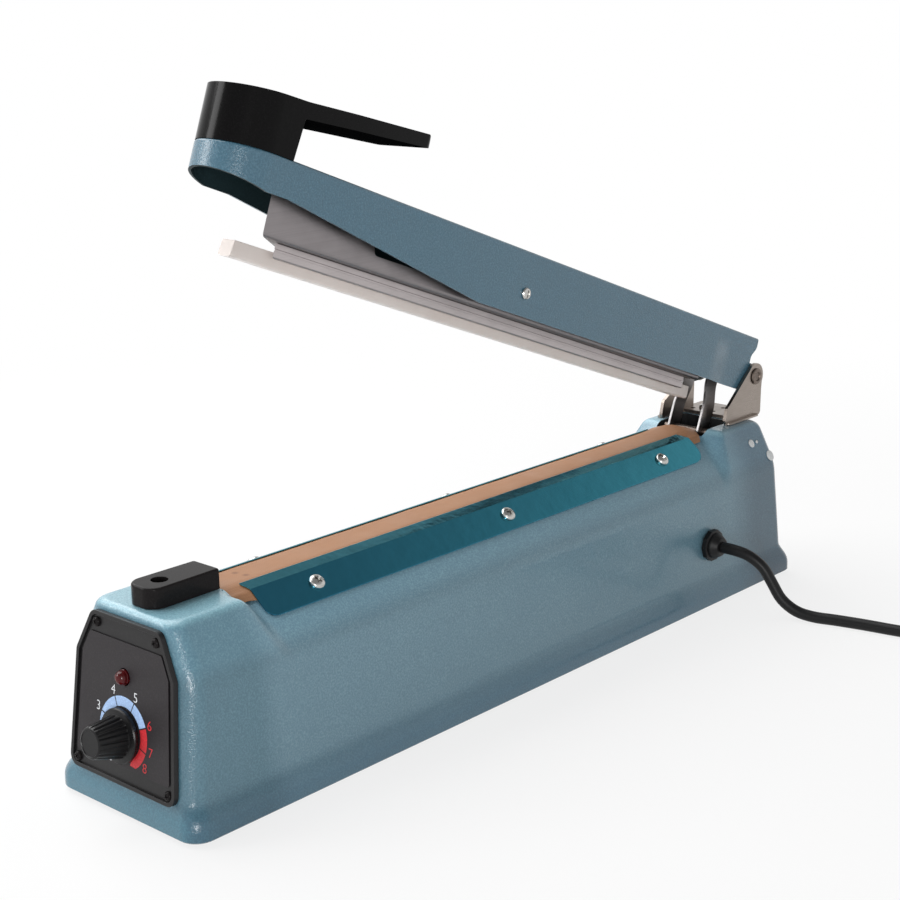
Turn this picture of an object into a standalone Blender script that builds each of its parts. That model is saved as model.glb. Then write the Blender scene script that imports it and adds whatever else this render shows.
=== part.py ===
"""Impulse heat sealer: a sprung press arm, hinged at the rear, over a heated bed on a cast housing.

Metres, +Z up. The timer panel faces -Y, the hinge is at the rear and the cord leaves on the +X side.
Pieces are modelled in a bench frame whose zero is the foot's front lower edge. The root empty carries
that frame, so that the world origin lies on the table under the middle of the sealer.
Arm pieces are modelled with the arm closed and level, and the arm's empty on the hinge pin lifts them.
"""
import math

import bmesh
import bpy
from mathutils import Matrix, Vector
from mathutils.geometry import intersect_line_line_2d

MM = 0.001
SEAT_GAP = 0.3 * MM
ROUND_STEPS = 4

# Where the bench frame stands in the world
MIDDLE_FROM_FOOT = 202.955 * MM
FOOT_PAD_DROP = 1.6 * MM

# Cast housing
FOOT_HALF_WIDTH = 43.6 * MM
FOOT_LENGTH = 416.5 * MM
FOOT_EDGE = 5.0 * MM
FOOT_CORNER = 9.0 * MM
FLARE_TOP = 14.0 * MM
WALL_HALF_WIDTH = 38.8 * MM
WALL_CORNER = 9.0 * MM
CREASE_HEIGHT = 60.0 * MM
CREASE_HALF_WIDTH = 36.0 * MM
CHAMFER_LEAN = 0.526
DECK_HEIGHT = 81.4 * MM
DECK_ROUND = 5.0 * MM
DECK_CORNER = 7.0 * MM
FRONT_ROUND = 3.0 * MM
FRONT_WALL = 2.2 * MM
FRONT_LEAN = 0.11
REAR_WALL = 414.5 * MM
REAR_LEAN = 0.06
WALL_THICKNESS = 2.8 * MM
CAVITY_CREASE = 59.0 * MM
CAVITY_TOP = 71.0 * MM
CAVITY_TOP_HALF_WIDTH = 19.3 * MM
RABBET_DEPTH = 2.8 * MM
RABBET_INSET = 2.6 * MM
PLATE_THICKNESS = 1.5 * MM

# Sealing bed along the top of the housing
BED_HALF_WIDTH = 14.3 * MM
BED_FRONT = 48.9 * MM
BED_REAR = 376.0 * MM
BED_FLAT_HALF_WIDTH = 9.3 * MM
BED_SINK = 0.7 * MM
POCKET_FRONT = 52.0 * MM
POCKET_REAR = 366.5 * MM
POCKET_FLOOR = 74.0 * MM
TERMINAL_LENGTH = 7.2 * MM
CLOTH_THICKNESS = 0.4 * MM
CLOTH_FRONT = 49.2 * MM
CLOTH_REAR = 371.6 * MM
CLOTH_WING = 5.0 * MM
RIBBON_WIDTH = 4.0 * MM
RIBBON_THICKNESS = 0.2 * MM
INSULATION_WIDTH = 12.0 * MM
INSULATION_THICKNESS = 0.4 * MM

# Shoulders and the two clamp plates that hold the cloth
SHOULDER_SLOPE = 0.80
SHOULDER_TOP = 78.4 * MM
SHOULDER_FRONT = 49.0 * MM
SHOULDER_REAR = 371.0 * MM
SHOULDER_END_LEAN = 0.36
CLAMP_FRONT = 58.7 * MM
CLAMP_LENGTH = 300.8 * MM
CLAMP_THICKNESS = 0.8 * MM
CLAMP_INNER_EDGE = 9.0 * MM
CLAMP_FOLD = 13.7 * MM
CLAMP_LOWER_EDGE = 25.3 * MM
CLAMP_CORNER = 7.0 * MM
CLAMP_SEAT_DEPTH = 1.2 * MM
CLAMP_RISE = 1.0 * MM
CLAMP_SCREW_PITCH = 119.7 * MM
CLAMP_SCREW_FIRST = 88.9 * MM
CLAMP_SCREW_OUT = 19.2 * MM

# Stop block on the front of the deck
STOP_FRONT = 14.0 * MM
STOP_REAR = 48.4 * MM
STOP_HALF_WIDTH = 8.0 * MM
STOP_TOP = 90.0 * MM
STOP_SCREW = 24.6 * MM

# Control panel, in its own frame: across, up the panel, and out of it
PANEL_FOOT = 12.3 * MM
PANEL_LEVELS = ((0.0, 32.5 * MM), (48.7 * MM, 29.8 * MM), (66.1 * MM, 20.7 * MM))
PANEL_FACE = 1.5 * MM
PANEL_RIM = 2.6 * MM
PANEL_RIM_WIDTH = 1.6 * MM
LABEL_LOW = 7.5 * MM
LABEL_HIGH = 57.3 * MM
LABEL_FRONT = 2.1 * MM
DIAL_HEIGHT = 20.4 * MM
LAMP_HEIGHT = 43.6 * MM
LAMP_RADIUS = 3.2 * MM
LAMP_RISE = 2.9 * MM
PANEL_SCREWS = ((18.0 * MM, 61.4 * MM), (27.9 * MM, 4.0 * MM))
KNOB_SKIRT_RADIUS = 11.0 * MM
KNOB_BASE_RADIUS = 8.5 * MM
KNOB_TIP_RADIUS = 6.4 * MM
KNOB_BACK = 2.9 * MM
KNOB_FRONT = 17.6 * MM
KNOB_FLUTES = 18
SHAFT_RADIUS = 3.0 * MM

# Hinge and arm: s runs forward from the pin along the arm, n runs down from it
PIN_Y = 414.8 * MM
PIN_Z = 103.2 * MM
PIN_RADIUS = 2.6 * MM
OPEN_ANGLE = math.radians(20.3)
ARM_HALF_WIDTH = 18.5 * MM
ARM_SHEET = 1.2 * MM
ARM_TOP = -19.5 * MM
ARM_SKIRT = 9.5 * MM
ARM_NOSE_EDGE = -4.6 * MM
ARM_TIP_EDGE = -10.0 * MM
ARM_RISE_START = 235.0 * MM
ARM_RISE_END = 355.0 * MM
ARM_NOSE_CENTRE = 367.6 * MM
ARM_REAR = 5.3 * MM
ARM_LUG_RADIUS = 6.0 * MM
ARM_PINCH_HALF_WIDTH = 16.1 * MM
ARM_PINCH_END = 36.0 * MM
ARM_PINCH_TOP = -12.0 * MM

# Press bar that rocks on a cross screw in the arm
BAR_PIVOT_S = 205.0 * MM
BAR_PIVOT_N = -0.8 * MM
BAR_PIVOT_RADIUS = 2.0 * MM
BAR_HALF_WIDTH = 12.0 * MM
BAR_SHEET = 1.2 * MM
BAR_FRONT = 359.0 * MM
BAR_MITRE = 1.3
BAR_REAR = 44.0 * MM
BAR_WEB = 10.8 * MM
BAR_TALL = -7.0 * MM
BAR_LOW = 4.0 * MM
CARRIER_FRONT = 347.0 * MM
CARRIER_REAR = 50.0 * MM
CARRIER_HALF_WIDTH = 7.0 * MM
CARRIER_BASE = 17.0 * MM
STRIP_HALF_WIDTH = 3.6 * MM
STRIP_FRONT = 363.5 * MM
STRIP_REAR = 38.5 * MM
STRIP_TOP = 14.7 * MM
STRIP_BASE = 21.0 * MM

# Handle on the arm's nose
HANDLE_BACK = 357.5 * MM
HANDLE_TIP = 283.2 * MM
HANDLE_KNEE = 356.0 * MM
HANDLE_TOP_FRONT = -41.0 * MM
HANDLE_TOP_KNEE = -41.2 * MM
HANDLE_TOP_TIP = -50.2 * MM
HANDLE_UNDER_ROOT = -34.4 * MM
HANDLE_UNDER_TIP = -45.6 * MM
HANDLE_TIP_HALF_WIDTH = 14.5 * MM

# Links from the arm down to the return spring
LINK_S = 23.7 * MM
LINK_N = 1.5 * MM
LINK_LEAN = math.radians(3.0)
LINK_REACH = 34.4 * MM
LINK_HALF_WIDTH = 4.8 * MM
LINK_THICKNESS = 1.5 * MM
LINK_UPPER_OUT = 7.2 * MM
LINK_LOWER_OUT = 9.2 * MM
LINK_PIN_RADIUS = 2.0 * MM
LINK_PIN_HOLE = 2.3 * MM
LINK_OPENING_HALF_WIDTH = 15.0 * MM
LINK_OPENING_FRONT = 369.5 * MM
LINK_OPENING_REAR = 396.5 * MM
SPRING_RADIUS = 5.2 * MM
SPRING_WIRE = 0.65 * MM
SPRING_TURNS = 9
SPRING_SEAT = 24.0 * MM
SPRING_TOP = 75.8 * MM

# Hinge bracket on the rear of the deck
BRACKET_HALF_WIDTH = 18.4 * MM
BRACKET_SHEET = 1.8 * MM
BRACKET_FRONT = 386.0 * MM
BRACKET_BASE_FRONT = 398.0 * MM
BRACKET_REAR = 420.0 * MM
BRACKET_EYE = 7.0 * MM
BRACKET_SCREW_OUT = 8.0 * MM
BRACKET_SCREW_Y = 406.5 * MM

# Limit switch under the links
SWITCH_LEVER_Y = 398.0 * MM
SWITCH_LEVER_Z = 62.5 * MM
SWITCH_TIP_Y = 379.0 * MM
SWITCH_TIP_Z = 74.4 * MM

# Mains cord: gland, free run, put-away coil and plug
GLAND_Y = 344.6 * MM
GLAND_Z = 30.7 * MM
GLAND_TIP = 46.0 * MM
CORD_RADIUS = 2.9 * MM
TABLE = -FOOT_PAD_DROP
CORD_ON_TABLE = TABLE + CORD_RADIUS
COIL_X = 190.0 * MM
COIL_Y = 411.0 * MM
COIL_OUTER = 41.0 * MM
COIL_PITCH = 6.5 * MM
COIL_LAYER_TURNS = 2.875
COIL_CLIMB_TURNS = 0.5
COIL_LOW = CORD_ON_TABLE + 0.9 * MM
COIL_HIGH = COIL_LOW + 2 * CORD_RADIUS + 0.5 * MM
COIL_POINTS_PER_TURN = 24
COIL_TAIL = 23.0 * MM
CORD_ROUTE = (
    (GLAND_TIP + SEAT_GAP, GLAND_Y, GLAND_Z),
    (GLAND_TIP + 2 * CORD_RADIUS, GLAND_Y, GLAND_Z),
    (60.6 * MM, 346.2 * MM, 28.9 * MM),
    (67.8 * MM, 348.3 * MM, 23.7 * MM),
    (72.6 * MM, 349.7 * MM, 16.0 * MM),
    (77.4 * MM, 351.1 * MM, 8.3 * MM),
    (84.7 * MM, 353.2 * MM, 3.1 * MM),
    (93.4 * MM, 355.7 * MM, CORD_ON_TABLE),
    (104.0 * MM, 358.6 * MM, CORD_ON_TABLE),
    (118.0 * MM, 361.9 * MM, CORD_ON_TABLE),
    (136.5 * MM, 365.4 * MM, CORD_ON_TABLE),
    (157.0 * MM, 368.7 * MM, COIL_LOW),
    (COIL_X - 4 * CORD_RADIUS - SEAT_GAP, COIL_Y - COIL_OUTER, COIL_LOW),
    (COIL_X - 2 * CORD_RADIUS - SEAT_GAP, COIL_Y - COIL_OUTER, COIL_LOW),
)

# Finish: colour, metallic, roughness
FINISHES = {
    "hammer_paint": ((0.13, 0.24, 0.31), 0.0, 0.35),
    "black_plastic": ((0.012, 0.012, 0.013), 0.0, 0.3),
    "panel_plastic": ((0.045, 0.042, 0.044), 0.0, 0.5),
    "black_rubber": ((0.02, 0.02, 0.02), 0.0, 0.8),
    "clear_silicone": ((0.75, 0.7, 0.68), 0.0, 0.45),
    "coated_cloth": ((0.6, 0.32, 0.18), 0.0, 0.55),
    "blue_anodised": ((0.012, 0.125, 0.2), 0.9, 0.25),
    "plated_steel": ((0.42, 0.38, 0.35), 1.0, 0.3),
    "mill_aluminium": ((0.5, 0.48, 0.48), 1.0, 0.4),
    "brass": ((0.6, 0.42, 0.16), 1.0, 0.35),
    "copper_winding": ((0.45, 0.18, 0.08), 0.6, 0.45),
    "core_steel": ((0.16, 0.16, 0.17), 0.8, 0.5),
    "board_resin": ((0.25, 0.19, 0.07), 0.0, 0.6),
    "red_lens": ((0.25, 0.008, 0.01), 0.0, 0.15),
}


def clear_scene():
    """Remove every object that the scene starts with."""
    for obj in list(bpy.data.objects):
        bpy.data.objects.remove(obj, do_unlink=True)


def make_materials():
    """One Principled material for each finish."""
    materials = {}
    for name, (colour, metallic, roughness) in FINISHES.items():
        material = bpy.data.materials.new(name)
        material.use_nodes = True
        shader = material.node_tree.nodes["Principled BSDF"]
        shader.inputs["Base Color"].default_value = (*colour, 1.0)
        shader.inputs["Metallic"].default_value = metallic
        shader.inputs["Roughness"].default_value = roughness
        materials[name] = material
    return materials


def add_empty(name, location, tilt=0.0, parent=None):
    """An empty that carries a group of pieces, turned about X."""
    empty = bpy.data.objects.new(name, None)
    empty.location = location
    empty.rotation_euler = (tilt, 0.0, 0.0)
    empty.parent = parent
    bpy.context.scene.collection.objects.link(empty)
    return empty


def raw_object(bm, label="shape"):
    """Turn a bmesh into an object that has no finish or parent yet."""
    bmesh.ops.recalc_face_normals(bm, faces=bm.faces)
    mesh = bpy.data.meshes.new(label)
    bm.to_mesh(mesh)
    bm.free()
    obj = bpy.data.objects.new(label, mesh)
    bpy.context.scene.collection.objects.link(obj)
    return obj


def piece(name, obj, finish, parent, smooth=30.0):
    """Name a finished shape, give it its material and hang it on its parent."""
    obj.name = name
    obj.data.name = name
    obj.data.materials.clear()
    obj.data.materials.append(MATERIALS[finish])
    if obj.type == "MESH":
        obj.data.shade_smooth()
        obj.data.set_sharp_from_angle(angle=math.radians(smooth))
    obj.parent = parent
    return obj


def carve(target, *tools, operation="DIFFERENCE"):
    """Cut, join or intersect a shape with others, which are used up."""
    for tool in tools:
        modifier = target.modifiers.new("carve", "BOOLEAN")
        modifier.operation = operation
        modifier.solver = "EXACT"
        modifier.object = tool
        bpy.context.view_layer.update()
        depsgraph = bpy.context.evaluated_depsgraph_get()
        mesh = bpy.data.meshes.new_from_object(target.evaluated_get(depsgraph))
        target.modifiers.clear()
        target.data = mesh
        bpy.data.objects.remove(tool, do_unlink=True)
    return target


def soften(obj, width, segments=2, angle=35.0):
    """Round the edges of a shape that are sharper than an angle."""
    modifier = obj.modifiers.new("soften", "BEVEL")
    modifier.width = width
    modifier.segments = segments
    modifier.limit_method = "ANGLE"
    modifier.angle_limit = math.radians(angle)
    return obj


def prism(outline, axis, low, high):
    """Extrude a flat outline along an axis: (y, z) on X, (x, z) on Y and (x, y) on Z."""
    bm = bmesh.new()
    place = {
        "X": lambda a, b, h: (h, a, b),
        "Y": lambda a, b, h: (a, h, b),
        "Z": lambda a, b, h: (a, b, h),
    }[axis]
    base = bm.faces.new([bm.verts.new(place(a, b, low)) for a, b in outline])
    grown = bmesh.ops.extrude_face_region(bm, geom=[base])
    moved = [item for item in grown["geom"] if isinstance(item, bmesh.types.BMVert)]
    bmesh.ops.translate(bm, verts=moved, vec=place(0.0, 0.0, high - low))
    return raw_object(bm)


def box(low, high):
    """A rectangular block between two corners."""
    outline = [(low[0], low[1]), (high[0], low[1]), (high[0], high[1]), (low[0], high[1])]
    return prism(outline, "Z", low[2], high[2])


def loft(rings):
    """Skin a row of rings that have equal counts of points, and cap both ends."""
    bm = bmesh.new()
    rows = [[bm.verts.new(point) for point in ring] for ring in rings]
    for lower, upper in zip(rows, rows[1:]):
        for index in range(len(lower)):
            following = (index + 1) % len(lower)
            bm.faces.new((lower[index], lower[following], upper[following], upper[index]))
    bm.faces.new(list(reversed(rows[0])))
    bm.faces.new(rows[-1])
    return raw_object(bm)


def turned(profile, segments=20, centre=(0.0, 0.0), axis="Z"):
    """Turn a closed (radius, height) profile about an axis through a centre."""
    place = {
        "X": lambda a, b, h: (h, centre[0] + a, centre[1] + b),
        "Y": lambda a, b, h: (centre[0] + a, h, centre[1] + b),
        "Z": lambda a, b, h: (centre[0] + a, centre[1] + b, h),
    }[axis]
    bm = bmesh.new()
    rows = []
    for radius, height in profile:
        count = segments if radius > 0.0 else 1
        angles = [2 * math.pi * step / segments for step in range(count)]
        rows.append([bm.verts.new(place(radius * math.cos(a), radius * math.sin(a), height)) for a in angles])
    closed = profile[0][0] > 0.0 and profile[-1][0] > 0.0
    pairs = list(zip(rows, rows[1:])) + ([(rows[-1], rows[0])] if closed else [])
    for lower, upper in pairs:
        for index in range(segments):
            following = (index + 1) % segments
            corners = [lower[index % len(lower)], lower[following % len(lower)]]
            corners += [upper[following % len(upper)], upper[index % len(upper)]]
            bm.faces.new(list(dict.fromkeys(corners)))
    return raw_object(bm)


def rod(axis, centre, radius, low, high, segments=12):
    """A plain round rod, also used to drill."""
    return turned([(0.0, low), (radius, low), (radius, high), (0.0, high)], segments, centre, axis)


def arc(centre, radius, start, end, steps=ROUND_STEPS):
    """Points on an arc, angles in degrees."""
    points = []
    for step in range(steps + 1):
        angle = math.radians(start + (end - start) * step / steps)
        points.append((centre[0] + radius * math.cos(angle), centre[1] + radius * math.sin(angle)))
    return points


def rounded(corners, radii, steps=ROUND_STEPS):
    """Replace each corner of an outline by an arc of its radius."""
    points = []
    count = len(corners)
    for index, corner in enumerate(corners):
        here = Vector(corner)
        before = (Vector(corners[index - 1]) - here).normalized()
        after = (Vector(corners[(index + 1) % count]) - here).normalized()
        radius = radii[index] if isinstance(radii, (list, tuple)) else radii
        if radius <= 0.0:
            points.append(tuple(here))
            continue
        half = before.angle(after) / 2
        centre = here + (before + after).normalized() * radius / math.sin(half)
        start = here + before * radius / math.tan(half) - centre
        sweep = (math.pi - 2 * half) * (1 if before.cross(after) < 0 else -1)
        for step in range(steps + 1):
            turn = sweep * step / steps
            cos, sin = math.cos(turn), math.sin(turn)
            spoke = Vector((start.x * cos - start.y * sin, start.x * sin + start.y * cos))
            points.append(tuple(centre + spoke))
    return points


def inset(outline, distance):
    """Move every side of a counter-clockwise outline inwards."""
    sides = []
    for index, point in enumerate(outline):
        start, end = Vector(point), Vector(outline[(index + 1) % len(outline)])
        along = (end - start).normalized()
        shift = Vector((-along.y, along.x)) * distance
        sides.append((start + shift - along, end + shift + along))
    return [tuple(intersect_line_line_2d(*sides[index - 1], *sides[index])) for index in range(len(sides))]


def rectangle_ring(half_width, front, rear, corner, height, steps=ROUND_STEPS):
    """A level ring: a rectangle with round corners."""
    corners = [(-half_width, front), (half_width, front), (half_width, rear), (-half_width, rear)]
    return [(x, y, height) for x, y in rounded(corners, corner, steps)]


def mix(low, high, share):
    """A value part of the way from low to high."""
    return low + (high - low) * share


def leaning_wall(height, lean, foot, top_round):
    """How far a wall that leans in from its foot has come in, rounding over onto the deck."""
    centre = DECK_HEIGHT - top_round
    tangent = centre + top_round * math.sin(math.atan(lean))
    if height <= tangent:
        return lean * (height - foot)
    middle = lean * (centre - foot) + top_round / math.cos(math.atan(lean))
    return middle - math.sqrt(max(top_round ** 2 - (height - centre) ** 2, 0.0))


def front_wall(height):
    """Distance of the front wall behind the foot's front edge."""
    return FRONT_WALL + leaning_wall(height, FRONT_LEAN, PANEL_FOOT, FRONT_ROUND)


def rear_wall(height):
    """Distance of the rear wall behind the foot's front edge."""
    return REAR_WALL - leaning_wall(height, REAR_LEAN, FLARE_TOP, DECK_ROUND)


def side_wall(height):
    """Half width of the housing above the flare."""
    if height <= CREASE_HEIGHT:
        share = (height - FLARE_TOP) / (CREASE_HEIGHT - FLARE_TOP)
        return mix(WALL_HALF_WIDTH, CREASE_HALF_WIDTH, share)
    return CREASE_HALF_WIDTH - leaning_wall(height, CHAMFER_LEAN, CREASE_HEIGHT, DECK_ROUND)


def shoulder(x):
    """Height of the sloping shoulder at a distance from the middle."""
    return SHOULDER_TOP - SHOULDER_SLOPE * (abs(x) - BED_HALF_WIDTH)


def clamp_surface(x):
    """Height of a clamp plate's outer face at a distance from the middle."""
    return CLAMP_RISE + SHOULDER_TOP - SHOULDER_SLOPE * (abs(x) - BED_HALF_WIDTH)


def housing_rings():
    """Level rings from the foot up over the flare, walls, chamfer and rounded top edge."""
    foot = (FOOT_HALF_WIDTH, 0.0, FOOT_LENGTH, FOOT_CORNER)
    wall = (WALL_HALF_WIDTH, front_wall(FLARE_TOP), rear_wall(FLARE_TOP), WALL_CORNER)
    rings = [rectangle_ring(*foot, 0.0)]
    for step in range(5):
        turn = math.radians(90.0 * step / 4)
        height = mix(FOOT_EDGE, FLARE_TOP, 1 - math.cos(turn))
        ring = [mix(low, high, math.sin(turn)) for low, high in zip(foot, wall)]
        rings.append(rectangle_ring(*ring, height))
    heights = [CREASE_HEIGHT]
    for angle in (6.0, 27.7, 48.0, 68.0, 90.0):
        heights.append(DECK_HEIGHT - DECK_ROUND * (1 - math.sin(math.radians(angle))))
    for height in heights:
        share = (height - CREASE_HEIGHT) / (DECK_HEIGHT - CREASE_HEIGHT)
        corner = mix(WALL_CORNER, DECK_CORNER, share)
        rings.append(rectangle_ring(side_wall(height), front_wall(height), rear_wall(height), corner, height))
    return rings


def shoulder_cutter(side):
    """What is cast away above one shoulder, with leaning ends."""
    outer = CREASE_HALF_WIDTH + 0.5 * MM
    top = DECK_HEIGHT + 10 * MM
    section = [(BED_HALF_WIDTH, shoulder(BED_HALF_WIDTH)), (outer, shoulder(outer))]
    section += [(outer + 10 * MM, top), (BED_HALF_WIDTH, top)]
    rings = []
    for start, lean in ((SHOULDER_FRONT, -SHOULDER_END_LEAN), (SHOULDER_REAR, SHOULDER_END_LEAN)):
        rings.append([(side * x, start + lean * (z - SHOULDER_TOP), z) for x, z in section])
    return loft(rings)


def clamp_seat_cutter(side):
    """Shallow seat in a shoulder for the cloth's edge and its clamp plate."""
    low, high = BED_HALF_WIDTH - 0.1 * MM, CLAMP_LOWER_EDGE + 0.6 * MM
    section = [(low, shoulder(low) - CLAMP_SEAT_DEPTH), (high, shoulder(high) - CLAMP_SEAT_DEPTH)]
    section += [(high, shoulder(high) + 4 * MM), (low, shoulder(low) + 4 * MM)]
    outline = [(side * x, z) for x, z in section]
    return prism(outline, "Y", CLAMP_FRONT - 0.6 * MM, CLAMP_FRONT + CLAMP_LENGTH + 0.6 * MM)


def make_housing():
    """Hollow cast housing with its rabbet, window, bed, shoulders, link opening and gland hole."""
    housing = loft(housing_rings())
    rabbet_ring = rectangle_ring(FOOT_HALF_WIDTH - RABBET_INSET, RABBET_INSET, FOOT_LENGTH - RABBET_INSET,
                                 FOOT_CORNER - RABBET_INSET, 0.0)
    rabbet = prism([(x, y) for x, y, _ in rabbet_ring], "Z", -MM, RABBET_DEPTH)
    cavity_rings = []
    levels = ((RABBET_DEPTH - 0.5 * MM, WALL_HALF_WIDTH - WALL_THICKNESS),
              (CAVITY_CREASE, CREASE_HALF_WIDTH - WALL_THICKNESS), (CAVITY_TOP, CAVITY_TOP_HALF_WIDTH))
    for height, half_width in levels:
        front = front_wall(max(height, FLARE_TOP)) + WALL_THICKNESS
        rear = rear_wall(max(height, FLARE_TOP)) - WALL_THICKNESS
        cavity_rings.append(rectangle_ring(half_width, front, rear, DECK_CORNER, height))
    window = [(x, PANEL_FOOT + up) for x, up in inset(panel_outline(), 6 * MM)]
    opening = rounded([(-LINK_OPENING_HALF_WIDTH, LINK_OPENING_FRONT),
                       (LINK_OPENING_HALF_WIDTH, LINK_OPENING_FRONT),
                       (LINK_OPENING_HALF_WIDTH, LINK_OPENING_REAR),
                       (-LINK_OPENING_HALF_WIDTH, LINK_OPENING_REAR)], 3 * MM)
    above = DECK_HEIGHT + 10 * MM
    pocket_half = BED_HALF_WIDTH - 0.1 * MM
    carve(housing, rabbet, loft(cavity_rings))
    carve(housing, shoulder_cutter(1), shoulder_cutter(-1))
    carve(housing, clamp_seat_cutter(1), clamp_seat_cutter(-1))
    bed_floor = DECK_HEIGHT - BED_SINK
    carve(housing, box((-BED_HALF_WIDTH, BED_FRONT, bed_floor), (BED_HALF_WIDTH, BED_REAR, above)))
    carve(housing, box((-pocket_half, POCKET_FRONT, POCKET_FLOOR), (pocket_half, POCKET_REAR, above)))
    carve(housing, prism(window, "Y", -5 * MM, 25 * MM), prism(opening, "Z", 60 * MM, above))
    carve(housing, rod("X", (GLAND_Y, GLAND_Z), 5.9 * MM, 30 * MM, 45 * MM))
    return housing


def make_base_pieces(root):
    """Housing, bottom plate and rubber feet."""
    piece("base_housing", make_housing(), "hammer_paint", root)
    edge = RABBET_INSET + SEAT_GAP
    ring = rectangle_ring(FOOT_HALF_WIDTH - edge, edge, FOOT_LENGTH - edge, FOOT_CORNER - edge, 0.0)
    top = RABBET_DEPTH - SEAT_GAP
    plate = prism([(x, y) for x, y, _ in ring], "Z", top - PLATE_THICKNESS, top)
    piece("bottom_plate", plate, "plated_steel", root)
    foot_top = top - PLATE_THICKNESS - SEAT_GAP
    profile = [(0.0, TABLE), (6.0 * MM, TABLE), (6.6 * MM, TABLE + 0.5 * MM)]
    profile += [(7.4 * MM, foot_top), (0.0, foot_top)]
    for index, (x, y) in enumerate(((30, 24), (-30, 24), (30, 392), (-30, 392)), start=1):
        piece(f"rubber_foot_{index}", turned(profile, 16, (x * MM, y * MM)), "black_rubber", root)


def panel_outline():
    """The panel's six sides, counter-clockwise from its lower right corner."""
    right = [(half, up) for up, half in PANEL_LEVELS]
    return right + [(-half, up) for half, up in reversed(right)]


def panel_half_width(up):
    """Half width of the panel at a distance up its face."""
    for (low, low_half), (high, high_half) in zip(PANEL_LEVELS, PANEL_LEVELS[1:]):
        if up <= high:
            return mix(low_half, high_half, (up - low) / (high - low))
    return PANEL_LEVELS[-1][1]


def make_panel_pieces(panel, dial):
    """Panel with its rim, label plate, screws, lamp, timer and knob."""
    outline = panel_outline()
    shell = prism(rounded(outline, 4 * MM), "Z", SEAT_GAP, PANEL_RIM)
    inner = prism(rounded(inset(outline, PANEL_RIM_WIDTH), 3 * MM), "Z", PANEL_FACE, PANEL_RIM + MM)
    carve(shell, inner)
    lamp_hole = LAMP_RADIUS + SEAT_GAP
    bushing_hole = 4.2 * MM
    carve(shell, rod("Z", (0.0, LAMP_HEIGHT), lamp_hole, -MM, 5 * MM))
    carve(shell, rod("Z", (0.0, DIAL_HEIGHT), bushing_hole, -MM, 5 * MM))
    places = [(side * x, up) for x, up in PANEL_SCREWS for side in (1, -1)]
    for index, place in enumerate(places, start=1):
        carve(shell, rod("Z", place, 1.4 * MM, -MM, 5 * MM, 10))
        seat = PANEL_FACE + SEAT_GAP
        head = [(0.0, 0.6 * MM), (1.1 * MM, 0.6 * MM), (1.1 * MM, seat), (1.9 * MM, seat)]
        head += [(1.7 * MM, seat + 0.7 * MM), (0.9 * MM, seat + 1.1 * MM), (0.0, seat + 1.2 * MM)]
        piece(f"panel_screw_{index}", turned(head, 12, place), "black_plastic", panel)
    piece("control_panel", soften(shell, 0.5 * MM, 1), "panel_plastic", panel)

    label_levels = (LABEL_LOW, PANEL_LEVELS[1][0], LABEL_HIGH)
    right = [(panel_half_width(up) - 3.4 * MM, up) for up in label_levels]
    label = prism(rounded(right + [(-x, up) for x, up in reversed(right)], 1.2 * MM, 2), "Z",
                  PANEL_FACE + SEAT_GAP, LABEL_FRONT)
    carve(label, rod("Z", (0.0, LAMP_HEIGHT), lamp_hole, 0.0, 5 * MM))
    carve(label, rod("Z", (0.0, DIAL_HEIGHT), bushing_hole, 0.0, 5 * MM))
    piece("dial_plate", label, "panel_plastic", panel)

    dome = [(LAMP_RADIUS * math.cos(math.radians(a)), LAMP_RISE + LAMP_RADIUS * math.sin(math.radians(a)))
            for a in (0, 30, 60)]
    lens = [(0.0, -9 * MM), (LAMP_RADIUS, -9 * MM)] + dome + [(0.0, LAMP_RISE + LAMP_RADIUS)]
    piece("indicator_lamp", turned(lens, 16, (0.0, LAMP_HEIGHT)), "red_lens", panel)

    bore = SHAFT_RADIUS + SEAT_GAP
    timer = [(0.0, -13 * MM), (8.5 * MM, -13 * MM), (8.5 * MM, -3 * MM), (3.8 * MM, -3 * MM)]
    timer += [(3.8 * MM, 2.6 * MM), (bore, 2.6 * MM), (bore, -6 * MM), (0.0, -6 * MM)]
    piece("timer_potentiometer", turned(timer, 20, (0.0, DIAL_HEIGHT)), "plated_steel", panel)
    board = box((-22 * MM, 5 * MM, -14.9 * MM), (22 * MM, 46 * MM, -13.3 * MM))
    piece("circuit_board", board, "board_resin", panel)

    shaft = rod("Z", (0.0, 0.0), SHAFT_RADIUS, -5.7 * MM, 14 * MM, 16)
    piece("potentiometer_shaft", shaft, "plated_steel", dial)
    piece("timer_knob", make_knob(bore), "black_plastic", dial)


def make_knob(bore):
    """Skirted knob whose taper is cut by flutes, bored from behind for the shaft."""
    count = 4 * KNOB_FLUTES
    levels = ((KNOB_BACK, KNOB_SKIRT_RADIUS, 0.0),
              (KNOB_BACK + 1.6 * MM, KNOB_SKIRT_RADIUS, 0.0),
              (KNOB_BACK + 2.2 * MM, KNOB_BASE_RADIUS + 0.9 * MM, 0.0),
              (KNOB_BACK + 2.6 * MM, KNOB_BASE_RADIUS, 0.4),
              (KNOB_FRONT - 1.2 * MM, KNOB_TIP_RADIUS + 0.2 * MM, 0.4),
              (KNOB_FRONT, KNOB_TIP_RADIUS - 0.9 * MM, 0.0))
    rings = []
    for height, radius, flute in levels:
        ring = []
        for step in range(count):
            angle = 2 * math.pi * step / count
            reach = radius - flute * MM * (1 - math.cos(KNOB_FLUTES * angle))
            ring.append((reach * math.cos(angle), reach * math.sin(angle), height))
        rings.append(ring)
    return carve(loft(rings), rod("Z", (0.0, 0.0), bore, 0.0, 14.4 * MM, 16))


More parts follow.
